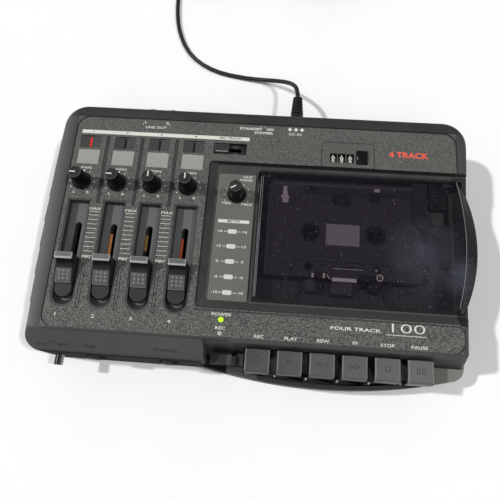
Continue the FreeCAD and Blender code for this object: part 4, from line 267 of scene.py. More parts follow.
class Finish:
    """A material put together from texture nodes on the piece's own coordinates."""

    def __init__(self, name, roughness, metallic=0.0, specular=0.5):
        self.made = bpy.data.materials.new(name)
        self.made.use_nodes = True
        tree = self.made.node_tree
        self.nodes, self.links = tree.nodes, tree.links
        self.shader = next(n for n in self.nodes if n.type == "BSDF_PRINCIPLED")
        self.put("Metallic", metallic)
        self.put("Specular IOR Level", specular)
        self.put("Roughness", roughness)
        self.place = self.nodes.new("ShaderNodeTexCoord").outputs["Object"]
        self.axes = None

    def add(self, kind, values=(), **settings):
        made = self.nodes.new("ShaderNode" + kind)
        for key, value in settings.items():
            setattr(made, key, value)
        for key, value in dict(values).items():
            self.feed(made.inputs[key], value)
        return made

    def feed(self, socket, value):
        """Links the output of a node to a socket, or sets the socket to a constant."""
        if isinstance(value, bpy.types.NodeSocket):
            self.links.new(value, socket)
        else:
            socket.default_value = value

    def noise(self, size, detail=2.0, stretch=(1, 1, 1)):
        """Grain whose spots are about size millimetres wide."""
        place = self.add("Mapping", {"Vector": self.place, "Scale": stretch}).outputs[0]
        return self.add("TexNoise", {"Vector": place, "Scale": 1 / (size * MM),
                                     "Detail": detail}).outputs[0]

    def spread(self, value, low, high, first=0.0, last=1.0):
        """Maps a value between two limits onto another range, and clamps it."""
        return self.add("MapRange", {"Value": value, "From Min": low, "From Max": high,
                                     "To Min": first, "To Max": last}).outputs[0]

    def mix(self, share, first, second):
        return self.add("Mix", {0: share, 6: first, 7: second}, data_type="RGBA").outputs[2]

    def math(self, operation, first, second=0.0):
        return self.add("Math", {0: first, 1: second}, operation=operation).outputs[0]

    def both(self, *shares):
        """The shares multiplied: 1 only where each of them is 1."""
        result = shares[0]
        for share in shares[1:]:
            result = self.math("MULTIPLY", result, share)
        return result

    def most(self, first, second):
        return self.math("MAXIMUM", first, second)

    def axis(self, letter):
        if self.axes is None:
            self.axes = self.add("SeparateXYZ", {0: self.place}).outputs
        return self.axes["XYZ".index(letter)]

    def ramp(self, letter, low, high, first=0.0, last=1.0):
        """Goes from one value to another between two places along an axis, in millimetres."""
        return self.spread(self.axis(letter), low * MM, high * MM, first, last)

    def between(self, letter, low, high, soft=0.15):
        """1 between two places along an axis and 0 outside them, in millimetres."""
        return self.both(self.ramp(letter, low - soft, low + soft),
                         self.ramp(letter, high - soft, high + soft, 1.0, 0.0))

    def area(self, x, y, soft=0.15):
        """1 inside a rectangle seen from above."""
        return self.both(self.between("X", *x, soft), self.between("Y", *y, soft))

    def away(self, x, y):
        """Distance from an upright line at a place."""
        across = self.math("SUBTRACT", self.axis("X"), x * MM)
        deep = self.math("SUBTRACT", self.axis("Y"), y * MM)
        return self.math("SQRT", self.math("ADD", self.math("POWER", across, 2.0),
                                           self.math("POWER", deep, 2.0)))

    def tint(self, colour, share, spots, contrast=0.25):
        """The colour, lighter and darker by a share where the spots are."""
        dark = [c * (1 - share) for c in colour[:3]] + [1]
        pale = [c * (1 + share) for c in colour[:3]] + [1]
        return self.mix(self.spread(spots, 0.5 - contrast, 0.5 + contrast), dark, pale)

    def put(self, name, value):
        self.feed(self.shader.inputs[name], value)

    def colour(self, value):
        self.put("Base Color", value)

    def uneven(self, clouds, low, high):
        """Roughness that wanders between two values."""
        self.put("Roughness", self.spread(clouds, 0.3, 0.7, low, high))

    def bumpy(self, height, depth):
        """The finished material, with a relief of a depth in millimetres."""
        made = self.add("Bump", {"Height": height, "Distance": depth * MM, "Strength": 1.0})
        self.put("Normal", made.outputs[0])
        return self.made


def moulded(name, colour, roughness, grain=0.5, depth=0.02, share=0.12, specular=0.4):
    """Moulded plastic: fine grain, faint clouds of wear and an uneven sheen."""
    finish = Finish(name, roughness, specular=specular)
    grains, clouds = finish.noise(grain), finish.noise(18.0, 4.0)
    tinted = finish.tint(colour, share, grains)
    worn = finish.tint(colour, share * 1.4, clouds, 0.35)
    finish.colour(finish.mix(0.4, tinted, worn))
    finish.uneven(clouds, roughness * 0.88, roughness * 1.12)
    return finish.bumpy(grains, depth)


def metal(name, colour, roughness):
    """Metal with a fine grain, and dulled in faint clouds."""
    finish = Finish(name, roughness, metallic=1.0)
    grains, clouds = finish.noise(0.4, 3.0), finish.noise(9.0, 4.0)
    finish.colour(finish.tint(colour, 0.10, clouds))
    finish.uneven(grains, roughness * 0.75, roughness * 1.25)
    return finish.bumpy(grains, 0.004)


def case_paint():
    """Textured paint inside the groove, and a smoother rim and wells; painted light and shade on
    the rim and apron, painted shade in the recesses.
    """
    finish = Finish("case_paint", 0.62, specular=0.3)
    spots, fine, clouds = finish.noise(0.72, 1.5), finish.noise(0.3), finish.noise(22.0, 4.0)
    field = finish.area((-129.5, 129.5), (-70.4, 77.6))
    level = finish.both(field, finish.between("Z", 47.9, 49.0, 0.05))
    wells = finish.both(field, finish.between("Z", 41.0, 42.2, 0.05))
    # rim: painted light and shade, pale on the left and towards the front where it faces the lamps,
    # dark at the back and on the apron where they face away from them
    side = finish.mix(finish.ramp("Y", -80, 60), rgb(110, 110, 108), rgb(94, 93, 92))
    dark = finish.tint(rgb(40, 40, 39), 0.08, fine)
    rim = finish.mix(finish.ramp("X", -139, -131, 1.0, 0.25), dark, side)
    back = finish.both(finish.ramp("X", -136, -130), finish.ramp("Y", 77, 78))
    rim = finish.mix(back, rim, dark)
    rim = finish.mix(finish.ramp("Y", -71.6, -70.6, 1.0, 0.0), rim,
                     finish.tint(rgb(66, 66, 65), 0.1, fine))
    body = finish.mix(wells, rim, finish.tint(rgb(94, 95, 97), 0.06, fine))
    strong, weak = (finish.tint(rgb(84, 86, 82), share, spots, 0.16) for share in (0.8, 0.5))
    body = finish.mix(level, body, finish.mix(finish.ramp("Y", -40, 60), strong, weak))
    # painted shade where the real places lie in shadow: groove, key bay, edge of the deck, right
    # ledge under the lid, selector slot and tile seats, channel gaps; the cover in the slot keeps
    # its own grey
    crease_shadow = finish.area((-128.0, -12.0), (-71.7, -70.7))
    body = finish.mix(finish.both(crease_shadow, 0.7), body, grey(26))
    bay_shade = finish.both(finish.between("X", -9.5, 150.0, 0.8),
                      finish.between("Y", -95.0, -71.9, 0.3))
    body = finish.mix(bay_shade, body, finish.mix(finish.ramp("Y", -80, -72.5), grey(14),
                                            grey(40)))
    edge = finish.both(field, finish.between("Z", 47.0, 47.85, 0.1), finish.ramp("X", -38, -36))
    share = finish.ramp("Y", -50, -48, 0.2, 0.85)
    body = finish.mix(finish.both(edge, share), body, rgb(14, 14, 15))
    body = finish.mix(finish.area((127.0, 150.0), (-53.0, 47.5)), body, rgb(26, 25, 28))
    slot = finish.both(finish.area((-126.2, -10.6), (53.2, 63.1), 0.02),
                       finish.between("Z", 44.0, 47.85, 0.1))
    cover = finish.area((-21.8, -16.8), (54.2, 61.6), 0.05)
    body = finish.mix(slot, body, finish.mix(cover, rgb(14, 14, 15), rgb(58, 58, 60)))
    across = finish.math("PINGPONG", finish.math("ADD", finish.axis("X"), 106.5 * MM),
                         PITCH / 2 * MM)
    divider_shade = finish.both(finish.spread(across, 0.9 * MM, 1.1 * MM, 1.0, 0.0),
                        finish.area((-108.0, -56.0), (13.0, 63.0)))
    body = finish.mix(finish.both(divider_shade, 0.75), body, rgb(40, 41, 40))
    body = finish.mix(finish.spread(clouds, 0.35, 0.75, 0.0, 0.14), body, rgb(104, 105, 98))
    # painted shade: nearly black along the foot of the front wall under the apron, and rough there
    foot = finish.ramp("Y", -84.7, -82.9, 1.0, 0.0)
    finish.colour(finish.mix(foot, body, grey(4)))
    finish.put("Roughness", finish.most(foot, finish.spread(clouds, 0.3, 0.7, 0.52, 0.68)))
    height = finish.mix(level, finish.both(fine, 0.3), spots)
    return finish.bumpy(height, 0.10)


def smoked_plastic():
    """Clear smoked plastic, scratched by handling and dusty, paler at the front right from scuffs
    and a painted sheen.
    """
    finish = Finish("smoked_plastic", 0.1, specular=0.16)
    finish.put("IOR", 1.4)
    finish.put("Alpha", 0.34)
    lines, crossed = finish.noise(0.7, 8.0, (1, 26, 1)), finish.noise(0.6, 8.0, (30, 2, 1))
    clouds = finish.noise(13.0, 4.0)
    middle = finish.away(107, -10)
    # paler patches at the front right: scuffs, and a painted sheen where the bowed lid catches the
    # light
    scuffs_and_sheen = finish.most(finish.spread(middle, 6 * MM, 27 * MM, 0.55, 0.0),
                         finish.spread(finish.away(129, -22), 2 * MM, 16 * MM, 1.0, 0.0))
    haze_and_sheen = finish.both(scuffs_and_sheen, finish.spread(clouds, 0.25, 0.65, 0.35, 1.0))
    turns = finish.math("ADD", middle, finish.both(clouds, 14 * MM))
    swirl = finish.spread(finish.math("PINGPONG", turns, 1.5 * MM), 1.36 * MM, 1.5 * MM)
    swirl = finish.both(swirl, scuffs_and_sheen, finish.spread(lines, 0.45, 0.6))
    scratched = finish.most(finish.spread(lines, 0.70, 0.78), finish.spread(crossed, 0.72, 0.80))
    marks = finish.most(swirl, finish.both(scratched, finish.spread(clouds, 0.5, 0.72)))
    rubbed_and_sheen = finish.both(finish.most(finish.spread(lines, 0.6, 0.72),
                                     finish.spread(crossed, 0.6, 0.72)), haze_and_sheen)
    dust = finish.spread(finish.noise(0.8, 1.0), 0.745, 0.77)
    body = finish.mix(haze_and_sheen, rgb(30, 25, 32), rgb(92, 96, 110))
    body = finish.mix(rubbed_and_sheen, body, rgb(132, 132, 146))
    body = finish.mix(marks, body, rgb(112, 112, 124))
    finish.colour(finish.mix(dust, body, rgb(240, 240, 244)))
    finish.put("Roughness", finish.spread(clouds, 0.4, 0.75, 0.06, 0.16))
    return finish.made


def write_on_label():
    """Off-white write-on face with fine ruled lines."""
    finish = Finish("write_on_face", 0.55)
    paper = finish.tint(rgb(157, 157, 150), 0.08, finish.noise(2.0))
    turned_place = finish.add("Mapping", {"Vector": finish.place,
                                          "Rotation": (0, 0, math.radians(3))}).outputs[0]
    along = finish.add("SeparateXYZ", {0: turned_place}).outputs[1]
    wave = finish.math("PINGPONG", along, 0.55 * MM)
    lines = finish.spread(wave, 0.06 * MM, 0.16 * MM, 1.0, 0.0)
    finish.colour(finish.mix(lines, paper, rgb(108, 108, 104)))
    return finish.bumpy(finish.noise(0.4), 0.01)


def lamp_lens(name, roughness, lit, colours, glow, strength, grain):
    """Lenses of which one glows: lit gives the axis and the two places that it lies between."""
    finish = Finish(name, roughness)
    lit = finish.between(*lit)
    finish.colour(finish.mix(lit, *colours))
    finish.put("Emission Color", finish.mix(lit, (0, 0, 0, 1), glow))
    finish.put("Emission Strength", strength)
    return finish.bumpy(finish.noise(grain), 0.01)


def tray_plastic():
    """Tray: painted shade makes it dark under the apron, keys and lid; paler where it swells out.
    """
    finish = Finish("tray_plastic", 0.6, specular=0.3)
    grains, clouds = finish.noise(0.6), finish.noise(18.0, 4.0)
    front = finish.ramp("Y", -60, -66)
    ledge = finish.both(finish.between("X", -13.5, 6.0, 0.5), front)
    swell = finish.both(finish.ramp("X", 111, 115), front)
    body = finish.tint(grey(30), 0.14, grains)
    body = finish.mix(ledge, body, finish.tint(grey(62), 0.12, grains))
    body = finish.mix(swell, body, finish.tint(rgb(116, 117, 111), 0.08, grains))
    body = finish.mix(finish.spread(clouds, 0.4, 0.8, 0.0, 0.08), body, rgb(104, 105, 98))
    # painted shade: nearly black under the apron's front, and rough there
    shade = finish.both(finish.between("X", -150.0, -14.0, 0.5), finish.ramp("Y", -84.0, -84.6))
    finish.colour(finish.mix(shade, body, grey(4)))
    finish.put("Roughness", finish.spread(shade, 0.0, 1.0, 0.6, 1.0))
    return finish.bumpy(grains, 0.05)


def fader_plastic():
    """Satin black, with painted shade darkening the hollow under the grip bar."""
    finish = Finish("fader_plastic", 0.4, specular=0.16)
    grains, clouds = finish.noise(0.4), finish.noise(9.0, 4.0)
    low, high = (finish.tint(rgb(*tone), 0.14, grains) for tone in ((52, 53, 55), (58, 59, 61)))
    body = finish.mix(finish.ramp("Z", 49.1, 49.6), low, high)
    # painted shade in the hollow under the grip bar
    finish.colour(finish.mix(finish.ramp("Z", 51.6, 54.2), body, rgb(12, 12, 13)))
    finish.uneven(clouds, 0.3, 0.42)
    return finish.bumpy(grains, 0.012)


def trim_metal():
    """Turned metal, painted bright along two edges as highlights and dark between them as shade."""
    finish = Finish("trim_metal", 0.3, metallic=0.6)
    across = finish.math("ABSOLUTE", finish.math("ADD", finish.axis("X"), 121.5 * MM))
    # painted highlights on both edges, painted shade between them
    finish.colour(finish.mix(finish.spread(across, 1.9 * MM, 2.3 * MM), rgb(20, 20, 22),
                             grey(200)))
    return finish.bumpy(finish.noise(0.4), 0.004)


def key_plastic():
    """Grey plastic, paler along the sides and the front edge of each key from wear and a painted
    highlight; painted lighter towards the right, and painted dark low down as shade.
    """
    finish = Finish("key_plastic", 0.4, specular=0.4)
    grains, clouds = finish.noise(0.45), finish.noise(12.0, 4.0)
    # painted light: paler towards the right, where more light falls
    shade = finish.mix(finish.ramp("X", 0, 105), grey(62), rgb(86, 87, 86))
    body = finish.mix(finish.spread(grains, 0.3, 0.7, 0.0, 0.12), shade, rgb(120, 120, 118))
    shifted = finish.math("SUBTRACT", finish.axis("X"), FIRST_KEY * MM)
    side = finish.math("PINGPONG", shifted, KEY_PITCH / 2 * MM)
    # side edges paler from wear and from a painted highlight
    rubbed_and_sheen = finish.both(finish.spread(side, 6.7 * MM, 7.5 * MM),
                         finish.spread(clouds, 0.3, 0.6, 0.3, 0.8),
                         finish.between("Z", 38.0, 40.0, 0.2))
    body = finish.mix(rubbed_and_sheen, body, rgb(140, 141, 140))
    # painted shade: dark on the lower sides and fronts of the keys
    finish.colour(finish.mix(finish.ramp("Z", 31, 37, 1.0, 0.0), body, rgb(26, 26, 27)))
    finish.uneven(clouds, 0.34, 0.5)
    return finish.bumpy(grains, 0.02)


def tape_and_hub():
    """Brown tape wound round a dark hub: fine rings by distance from the hub's middle."""
    finish = Finish("tape_and_hub", 0.35, specular=0.3)
    radius = finish.math("MINIMUM", finish.away(*REELS[0]), finish.away(*REELS[1]))
    rings = finish.math("PINGPONG", radius, 0.18 * MM)
    tape = finish.mix(finish.spread(rings, 0.0, 0.18 * MM), rgb(60, 42, 36), rgb(80, 60, 48))
    hub = finish.spread(radius, 10.9 * MM, 11.0 * MM, 1.0, 0.0)
    finish.colour(finish.mix(hub, tape, rgb(52, 50, 56)))
    return finish.bumpy(rings, 0.01)


# ---- power lead

LEAD_ROUTE = [
    (0.0224, 0.1117, 0.0310), (0.0221, 0.1205, 0.0292), (0.0178, 0.1310, 0.0210),
    (0.0085, 0.1400, 0.0105), (-0.0045, 0.1452, 0.0036), (-0.0220, 0.1476, 0.0017),
    (-0.0460, 0.1522, 0.0017), (-0.0675, 0.1658, 0.0017), (-0.0795, 0.1885, 0.0017),
    (-0.0842, 0.2130, 0.0017), (-0.0848, 0.2365, 0.0017), (-0.0836, 0.2580, 0.0017),
]
TAIL_ROUTE = [
    (-0.0570, 0.2854, 0.0017), (-0.0475, 0.2846, 0.0017), (-0.0370, 0.2795, 0.0025),
    (-0.0270, 0.2730, 0.0050), (-0.0165, 0.2690, 0.0080), (-0.0060, 0.2680, 0.0090),
]
COIL_MIDDLE = (-0.0570, 0.2580)
LEAD_WIDTH = 0.0033
TURN_POINTS = 16
ROWS, TURNS_IN_ROW = 4, 3


def on_coil(turns, radius, height):
    """The place that the lead reaches round the coil's middle after some turns."""
    angle = math.pi * (1 - 2 * turns)
    return (COIL_MIDDLE[0] + radius * math.cos(angle),
            COIL_MIDDLE[1] + radius * math.sin(angle), height)


def coil_points():
    """Rows of flat spiral turns, wound in and out by turns, each row a lead's width higher."""
    points, outside = [], 0.0198 + LEAD_WIDTH * TURNS_IN_ROW / 2
    grow = 1 / math.cos(math.pi / TURN_POINTS)
    last = ROWS * TURNS_IN_ROW * TURN_POINTS
    for step in range(1, last + 1):
        turns = step / TURN_POINTS
        row, along = divmod(turns, TURNS_IN_ROW)
        inward = along if row % 2 == 0 else TURNS_IN_ROW - along
        radius = (outside - LEAD_WIDTH * inward) * grow
        near = (turns + TURNS_IN_ROW / 2) % TURNS_IN_ROW - TURNS_IN_ROW / 2
        change = round(turns / TURNS_IN_ROW)
        if 0 < change < ROWS and abs(near) < 0.15:
            level = change - 0.5 + near / 0.3
        else:
            level = min(change, ROWS - 1) if near >= 0 else change - 1
        points.append(on_coil(turns, radius, 0.0017 + LEAD_WIDTH * level))
    return points


def leaving_points():
    """Down the outside of the coil, from its top row to the table."""
    return [on_coil(step / TURN_POINTS, radius * MM, height * MM)
            for step, radius, height in ((1, 25.6, 10.6), (2, 26.6, 8.2), (3, 27.5, 5.0))]


def power_lead(jacket):
    points = LEAD_ROUTE + coil_points() + leaving_points() + TAIL_ROUTE
    data = bpy.data.curves.new("power_lead", "CURVE")
    data.dimensions = "3D"
    line = data.splines.new("NURBS")
    line.points.add(len(points) - 1)
    for point, place in zip(line.points, points):
        point.co = (*place, 1.0)
    line.order_u, line.resolution_u, line.use_endpoint_u = 3, 3, True
    data.bevel_depth, data.bevel_resolution = LEAD_WIDTH / 2, 3
    data.use_fill_caps = True
    lead = added(bpy.data.objects.new("power_lead", data))
    return dress(lead, jacket, "cord_black", "case", "dc_cord", "dc_coil")


def plug(jacket):
    """Plug with a smooth grip and a ribbed strain relief that tapers to the lead."""
    profile = [(0, -10), (2.75, -10), (2.75, 0), (4.3, 0), (4.75, 0.4), (4.75, 7.6), (4.3, 8.4)]
    for rib in range(6):
        start, radius = 8.4 + rib * 2.5, 4.5 - rib * 0.2
        profile += [(radius - 0.75, start + 0.2), (radius - 0.75, start + 0.9),
                    (radius, start + 1.15), (radius, start + 2.2), (radius - 0.2, start + 2.45)]
    profile += [(2.1, 23.6), (1.7, 24), (0, 24)]
    made = settle(turned("power_plug", profile, 40), (22.4, 87.6, 31.0), (-90, 0, 0))
    return dress(made, jacket, "cord_black", "case", "dc_plug")


# ---- printed marks

def words(text, x, y, size, wide=1.3, bold=0.012, z=PANEL, tilt=0.0):
    """Flat printed words, centred on a place; size is the height of their capitals."""
    deselect()
    bpy.ops.object.text_add()
    made = named("print")
    data = made.data
    data.body, data.size, data.resolution_u = text, size / 0.7 * MM, 3
    data.align_x, data.align_y = "CENTER", "CENTER"
    data.offset, data.extrude = bold * size / 0.7 * MM, SUNK * MM
    pick(made)
    bpy.ops.object.convert(target="MESH")
    return settle(bpy.context.object, (x, y, z + SUNK), (tilt, 0, 0), (wide, 1, 1))


def bar(x, y, z=PANEL):
    return block("print", x, y, (z - SUNK, z + 0.04))


def dot(size, z):
    return slab("print", arc((0, 0), size, 0, 324, 9), z - SUNK, z + 0.04)


def knob_scale(x, y, radius, z=PANEL):
    """Dots round a knob, every 30 degrees, with a larger one at the top."""
    angles = [math.radians(angle) for angle in range(-120, 121, 30) if angle]
    spots = [(x - radius * math.sin(a), y + radius * math.cos(a), 0) for a in angles]
    return set_out(dot(0.42, z), spots) + [settle(dot(0.63, z), (x, y + radius, 0))]


def ladder():
    """Scale between two faders: MAX and MIN, with a fine line and ten thicker ones."""
    line = bar((-3.4, 3.2), (-0.14, 0.14))
    return joined("print", [
        words("MAX", 0, 8.7, 1.7, 1.5), words("MIN", -0.6, -24.7, 1.5, 1.5),
        bar((-3.3, 3.3), (6.55, 6.85)), *set_out(line, [(0, 4.3 - 3.1 * n, 0) for n in range(10)])])


def panel_print(pale):
    channel = joined("print", [
        words("PAN", 1.0, 38.1, 1.7, 1.6), words("L", -4.4, 20.1, 1.7),
        words("R", 4.8, 20.1, 1.7), *knob_scale(0, 27.9, 8.2)])
    pieces = set_out(channel, [(FIRST_PAN + PITCH * n, 0, 0) for n in CHANNELS])
    pieces += set_out(ladder(), [(FIRST_LADDER + PITCH * n, 0, 0) for n in range(3)])
    pieces += [words(str(n + 1), -121.0 + 23.8 * n, -62.2, 2.0, 1.55) for n in CHANNELS]
    pieces += [words(*mark) for mark in (
        ("LINE OUT", -74.7, 71.3, 1.8), ("L", -82.3, 75.0, 1.9), ("R", -67.0, 75.0, 1.9),
        ("STANDBY", -9.0, 74.0, 1.7, 1.45, 0.03), ("ON", 4.2, 74.0, 1.7, 1.3, 0.03),
        ("POWER", 0.0, 71.2, 1.7, 1.5, 0.03), ("DC IN", 21.5, 71.3, 1.7),
        ("POWER", -17.7, -55.7, 1.9), ("REC", -17.7, -64.0, 1.9),
        ("REC", 6.2, -67.6, 1.9), ("PLAY", 25.5, -67.6, 1.9), ("REW", 44.9, -67.6, 1.9),
        ("FF", 64.1, -67.6, 1.9), ("STOP", 83.4, -67.6, 1.9), ("PAUSE", 102.4, -67.6, 1.9),
        ("FOUR TRACK", 64.2, -59.2, 2.0, 1.75, 0.02), ("100", 94.6, -57.0, 5.6, 2.0, -0.012))]
    diamond = slab("print", [(-1.5, 0), (0, -1.5), (1.5, 0), (0, 1.5)], PANEL - SUNK, PANEL + 0.04)
    pieces += set_out(diamond, [(x, 75, 0) for x in (17.8, 21.9, 26.0)])
    pieces.append(bar((82.6, 106.6), (-61.2, -60.85)))
    pieces += set_out(bar((0, 0.3), (72.9, 74.0)), [(-84.0, 0, 0), (-65.6, 0, 0)])
    pieces += set_out(bar((0, 0.3), (74.9, 76.2)), [(-2.6, 0, 0), (0.7, 0, 0)])
    dress(joined("panel_print", pieces), pale, "label_white")


def meter_print(pale):
    """Scale of the meter: a number and a bar on both sides of each lamp."""
    middle, reach = -15.9, 8.1
    lamps = [-0.1 - 10.2 * n for n in range(5)]
    pieces = [bar((-25.8, -5.3), (5.9, 8.1), METER)]
    pieces += set_out(bar((-0.9, 0.9), (-0.22, 0.22), METER),
                      [(middle + side, y, 0) for y in lamps for side in (-4.6, 4.6)])
    for y, text in zip(lamps, ("+6", "+3", "0", "-6", "-10")):
        number = words(text, 0, y, 1.7, 1.35, 0.018, METER)
        pieces += set_out(number, [(middle - reach, 0, 0), (middle + reach, 0, 0)])
    pieces += [words(*mark, z=METER) for mark in (
        ("MIN", -21.5, 19.6, 1.8), ("MAX", -8.0, 19.3, 1.8), ("OUT", -8.6, 39.2, 1.6),
        ("PHONES", -9.6, 36.9, 1.6, 1.0))]
    pieces += knob_scale(-15.0, 26.0, 8.6, METER)
    dress(joined("meter_print", pieces), pale, "label_white")


def stripe(pale, ink_and_shade):
    """White stripe over the channels, and the dark numbers and words on it and on the meter."""
    dress(bar((-125.6, -9.3), (64.4, 67.1)), pale, "label_white").name = "channel_stripe"
    pieces = [words(str(n + 1), -117.7 + 23.8 * n, 65.8, 1.6, z=PANEL + 0.03) for n in CHANNELS]
    pieces.append(words("REC TRACK", -22.5, 65.8, 1.5, z=PANEL + 0.03))
    pieces.append(words("METER", -15.6, 7.0, 1.5, z=METER + 0.03))
    dress(joined("dark_print", pieces), ink_and_shade, "black_plastic")


def apron_print(ink_and_shade):
    """Words on the sloping front of the panel, two of them joined by a thin arch."""
    slope = math.degrees(math.atan2(APRON_DROP, APRON_DEPTH))

    def height(y):
        return PANEL - (APRON_EDGE - y) * APRON_DROP / APRON_DEPTH
    pieces = [words(text, x, y, 1.8, 1.5, 0.03, height(y), slope) for text, x, y in (
        ("LINE", -128.3, -80.9), ("MIC", -114.0, -80.4), ("TRIM", -98.2, -80.3),
        ("PHONES", -50.4, -79.5))]
    arch = slab("print", arc((0, 0), 2.8, 175, 5, 14) + arc((0, 0), 2.4, 5, 175, 14),
                -SUNK, 0.05)
    pieces.append(settle(arch, (-121.0, -80.9, height(-80.9)), (slope, 0, 0)))
    dress(joined("apron_print", pieces), ink_and_shade, "black_plastic")


# ---- knobs and faders

def knob_parts():
    """Fluted knob: rolled skirt, tapering grip with eighteen flutes, rimmed cap with a pointer."""
    grip = turned("grip", [(0, 0.45), (5.8, 0.45), (6.25, 0.8), (6.3, 1.6), (6.1, 2.3), (5.6, 2.8),
                           (5.25, 3.4), (5.1, 4.4), (4.2, 14.0), (4.0, 14.55), (3.6, 14.7),
                           (0, 14.7)], 72)
    edit()

    def flute(point):
        around = math.degrees(math.atan2(point.y, point.x)) % 20
        return 2.5 < point.z < 14.2 and min(around, 20 - around) < 1
    choose(grip, "VERT", flute)
    bpy.ops.transform.resize(value=(0.9, 0.9, 1), center_override=(0, 0, 0))
    tidy_mesh()
    cap = turned("cap", [(0, 14.5), (3.6, 14.5), (3.6, 14.92), (0, 14.98)], 40)
    rim = turned("rim", [(3.45, 14.5), (4.0, 14.5), (4.05, 14.8), (3.9, 15.06), (3.55, 15.08),
                         (3.45, 14.5)], 40)
    pointer = block("pointer", (-0.42, 0.42), (-0.4, 3.4), (14.85, 15.18), 0.08)
    return grip, cap, rim, pointer


def knobs(black, slate, rim_highlight, pale):
    """One knob, copied to the places of the four pan knobs and the level knob."""
    bodies = [f"pan_knob_{n + 1}" for n in CHANNELS] + ["level_knob"]
    places = [(FIRST_PAN + PITCH * n, 27.9, PANEL) for n in CHANNELS] + [(-15, 26, METER)]
    # the cap rim's paler grey is a painted highlight
    finishes = ((black, "black_plastic"), (slate, "meter_plastic"), (rim_highlight, "meter_plastic"),
                (pale, "label_white"))
    for model, (finish, slot) in zip(knob_parts(), finishes):
        part = model.name
        names = [f"{body.replace('_knob', '')}_{part}" for body in bodies]
        for piece, body in zip(set_out(model, places, (90, 90, 0, 0, 120), names), bodies):
            dress(piece, finish, slot, body, *([body] if part == "grip" else []))


def fader_parts():
    """Fader cap: grip bar with a pale inlay, hollow slope, framed pad of dimples, round tongue."""
    half = 5.4
    slope = bar_along("slope", -half, 2 * half, [
        (-6.0, -4.6), (12.5, -4.6), (13.5, -3.6), (13.3, 8.3), (9.3, 8.3), (9.1, 7.3), (8.2, 6.4),
        (6.9, 5.7), (5.5, 5.2), (4.3, 4.85), (-4.9, 2.6), (-5.15, 1.0), (-6.0, 1.0)], 25)
    ease(slope, 0.35, 2, 50)
    tongue = slab("tongue", [(-half, -4.4), *arc((0, -8.0), half, 180, 360, 18), (half, -4.4)],
                  -4.6, 1.1, 0.35)
    cap = joined("cap", [slope, tongue])
    grip_bar = block("bar", (-5.5, 5.5), (9.25, 13.4), (8.2, 9.86), 0.35, 3)
    inlay = block("inlay", (-5.0, 5.0), (10.35, 13.1), (9.7, 9.98), 0.12)
    frame_round = ring("pad_edge", [(-4.8, -4.6), (4.8, -4.6), (4.8, 4.5), (-4.8, 4.5)], 0.4,
                       -0.3, 0.3)
    pad = block("pad", (-4.4, 4.4), (-4.2, 4.1), (-0.3, 0.16), 0.05)
    dimple = turned("dimple", [(0.4, 0.1), (0.72, 0.1), (0.72, 0.26), (0.6, 0.32), (0.4, 0.2),
                               (0.4, 0.1)], 12)
    dimples = joined("dimples", set_out(dimple, [(x, y, 0) for y in (3.1, 0.6, -1.8)
                                                 for x in (-2.75, 0, 2.75)]))
    for piece in (frame_round, pad, dimples):
        settle(piece, (0, -0.3, 3.75), (13.7, 0, 0))
    return cap, pad, grip_bar, frame_round, dimples, inlay


def fader_places(y=0, z=0):
    return [(FIRST_FADER + PITCH * n, y, z) for n in CHANNELS]


def faders(plastic, pad, border, highlight_grey, bright, steel):
    """One fader cap and its lever, copied to the four channels."""
    bodies = [f"fader_{n + 1}" for n in CHANNELS]
    # the grip bar and the pad's frame are painted pale as highlights on their edges; the dimples
    # share the frame's grey
    finishes = ((plastic, "fader_plastic"), (pad, "fader_plastic"), (highlight_grey, "meter_plastic"),
                (border, "fader_plastic"), (border, "fader_plastic"), (bright, "meter_plastic"))
    for model, (finish, slot) in zip(fader_parts(), finishes):
        names = [f"{body}_{model.name}" for body in bodies]
        for piece, body in zip(set_out(model, fader_places(-38.0, PANEL), names=names), bodies):
            dress(piece, finish, slot, body)
            if piece.name.endswith("_cap"):
                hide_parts(body.replace("fader", "fader_knob"))
    lever = block("lever", (-0.7, 0.7), (-33.5, -29.5), (31.0, 44.0), 0.2)
    names = [f"{body}_lever" for body in bodies]
    for piece, body in zip(set_out(lever, fader_places(), names=names), bodies):
        dress(piece, steel, "steel", body)


def fader_tracks():
    """Orange and brown tracks of the slide controls, folded up the left side of the slots."""
    for number, front, back, colour in ((2, -30.0, -5.2, (205, 140, 92)),
                                        (3, -15.4, -4.6, (156, 118, 66)),
                                        (4, -30.0, -5.6, (188, 92, 58))):
        x = fader_places()[number - 1][0]
        track = joined(f"fader_{number}_track", [
            block("track", (x - 2.2, x - 1.02), (front, back), (38.28, 38.4)),
            block("track", (x - 2.2, x - 2.08), (front, back), (38.28, 40.8))])
        dress(track, moulded(f"track_{number}", rgb(*colour), 0.5, 1.2, 0.0), "brass")


def selector(black, highlight_grey):
    """Slide knob shaped like a barrel on its side, on a flat stem."""
    rounded = [(57.9 + 3.7 * math.cos(a), 46.2 + 4.55 * math.sin(a))
               for a in (math.pi * n / 14 for n in range(15))]
    barrel = ease(bar_along("selector_barrel", -32.5, 10.2, rounded), 0.6, 3)
    stem = block("selector_stem", (-29.4, -25.4), (56.9, 58.9), (43.2, 46.6))
    dress(joined("selector_knob", [barrel, stem]), black, "black_plastic", "track_selector",
          "track_selector")
    # a thin rib along the barrel's front, painted pale as its highlight
    rib = block("selector_highlight", (-31.5, -23.3), (55.0, 55.45), (48.9, 49.5), 0.1)
    dress(rib, highlight_grey, "black_plastic", "track_selector")


def reset_button(black):
    """Counter reset: a block with its front edge cut away."""
    button = bar_along("reset_button", 63.6, 6.7, [
        (51.4, 41.3), (60.8, 41.3), (60.8, 49.7), (60.2, 50.3), (55.2, 50.3), (51.6, 48.9)])
    dress(ease(button, 0.4), black, "black_plastic", "counter_reset", "counter_reset")


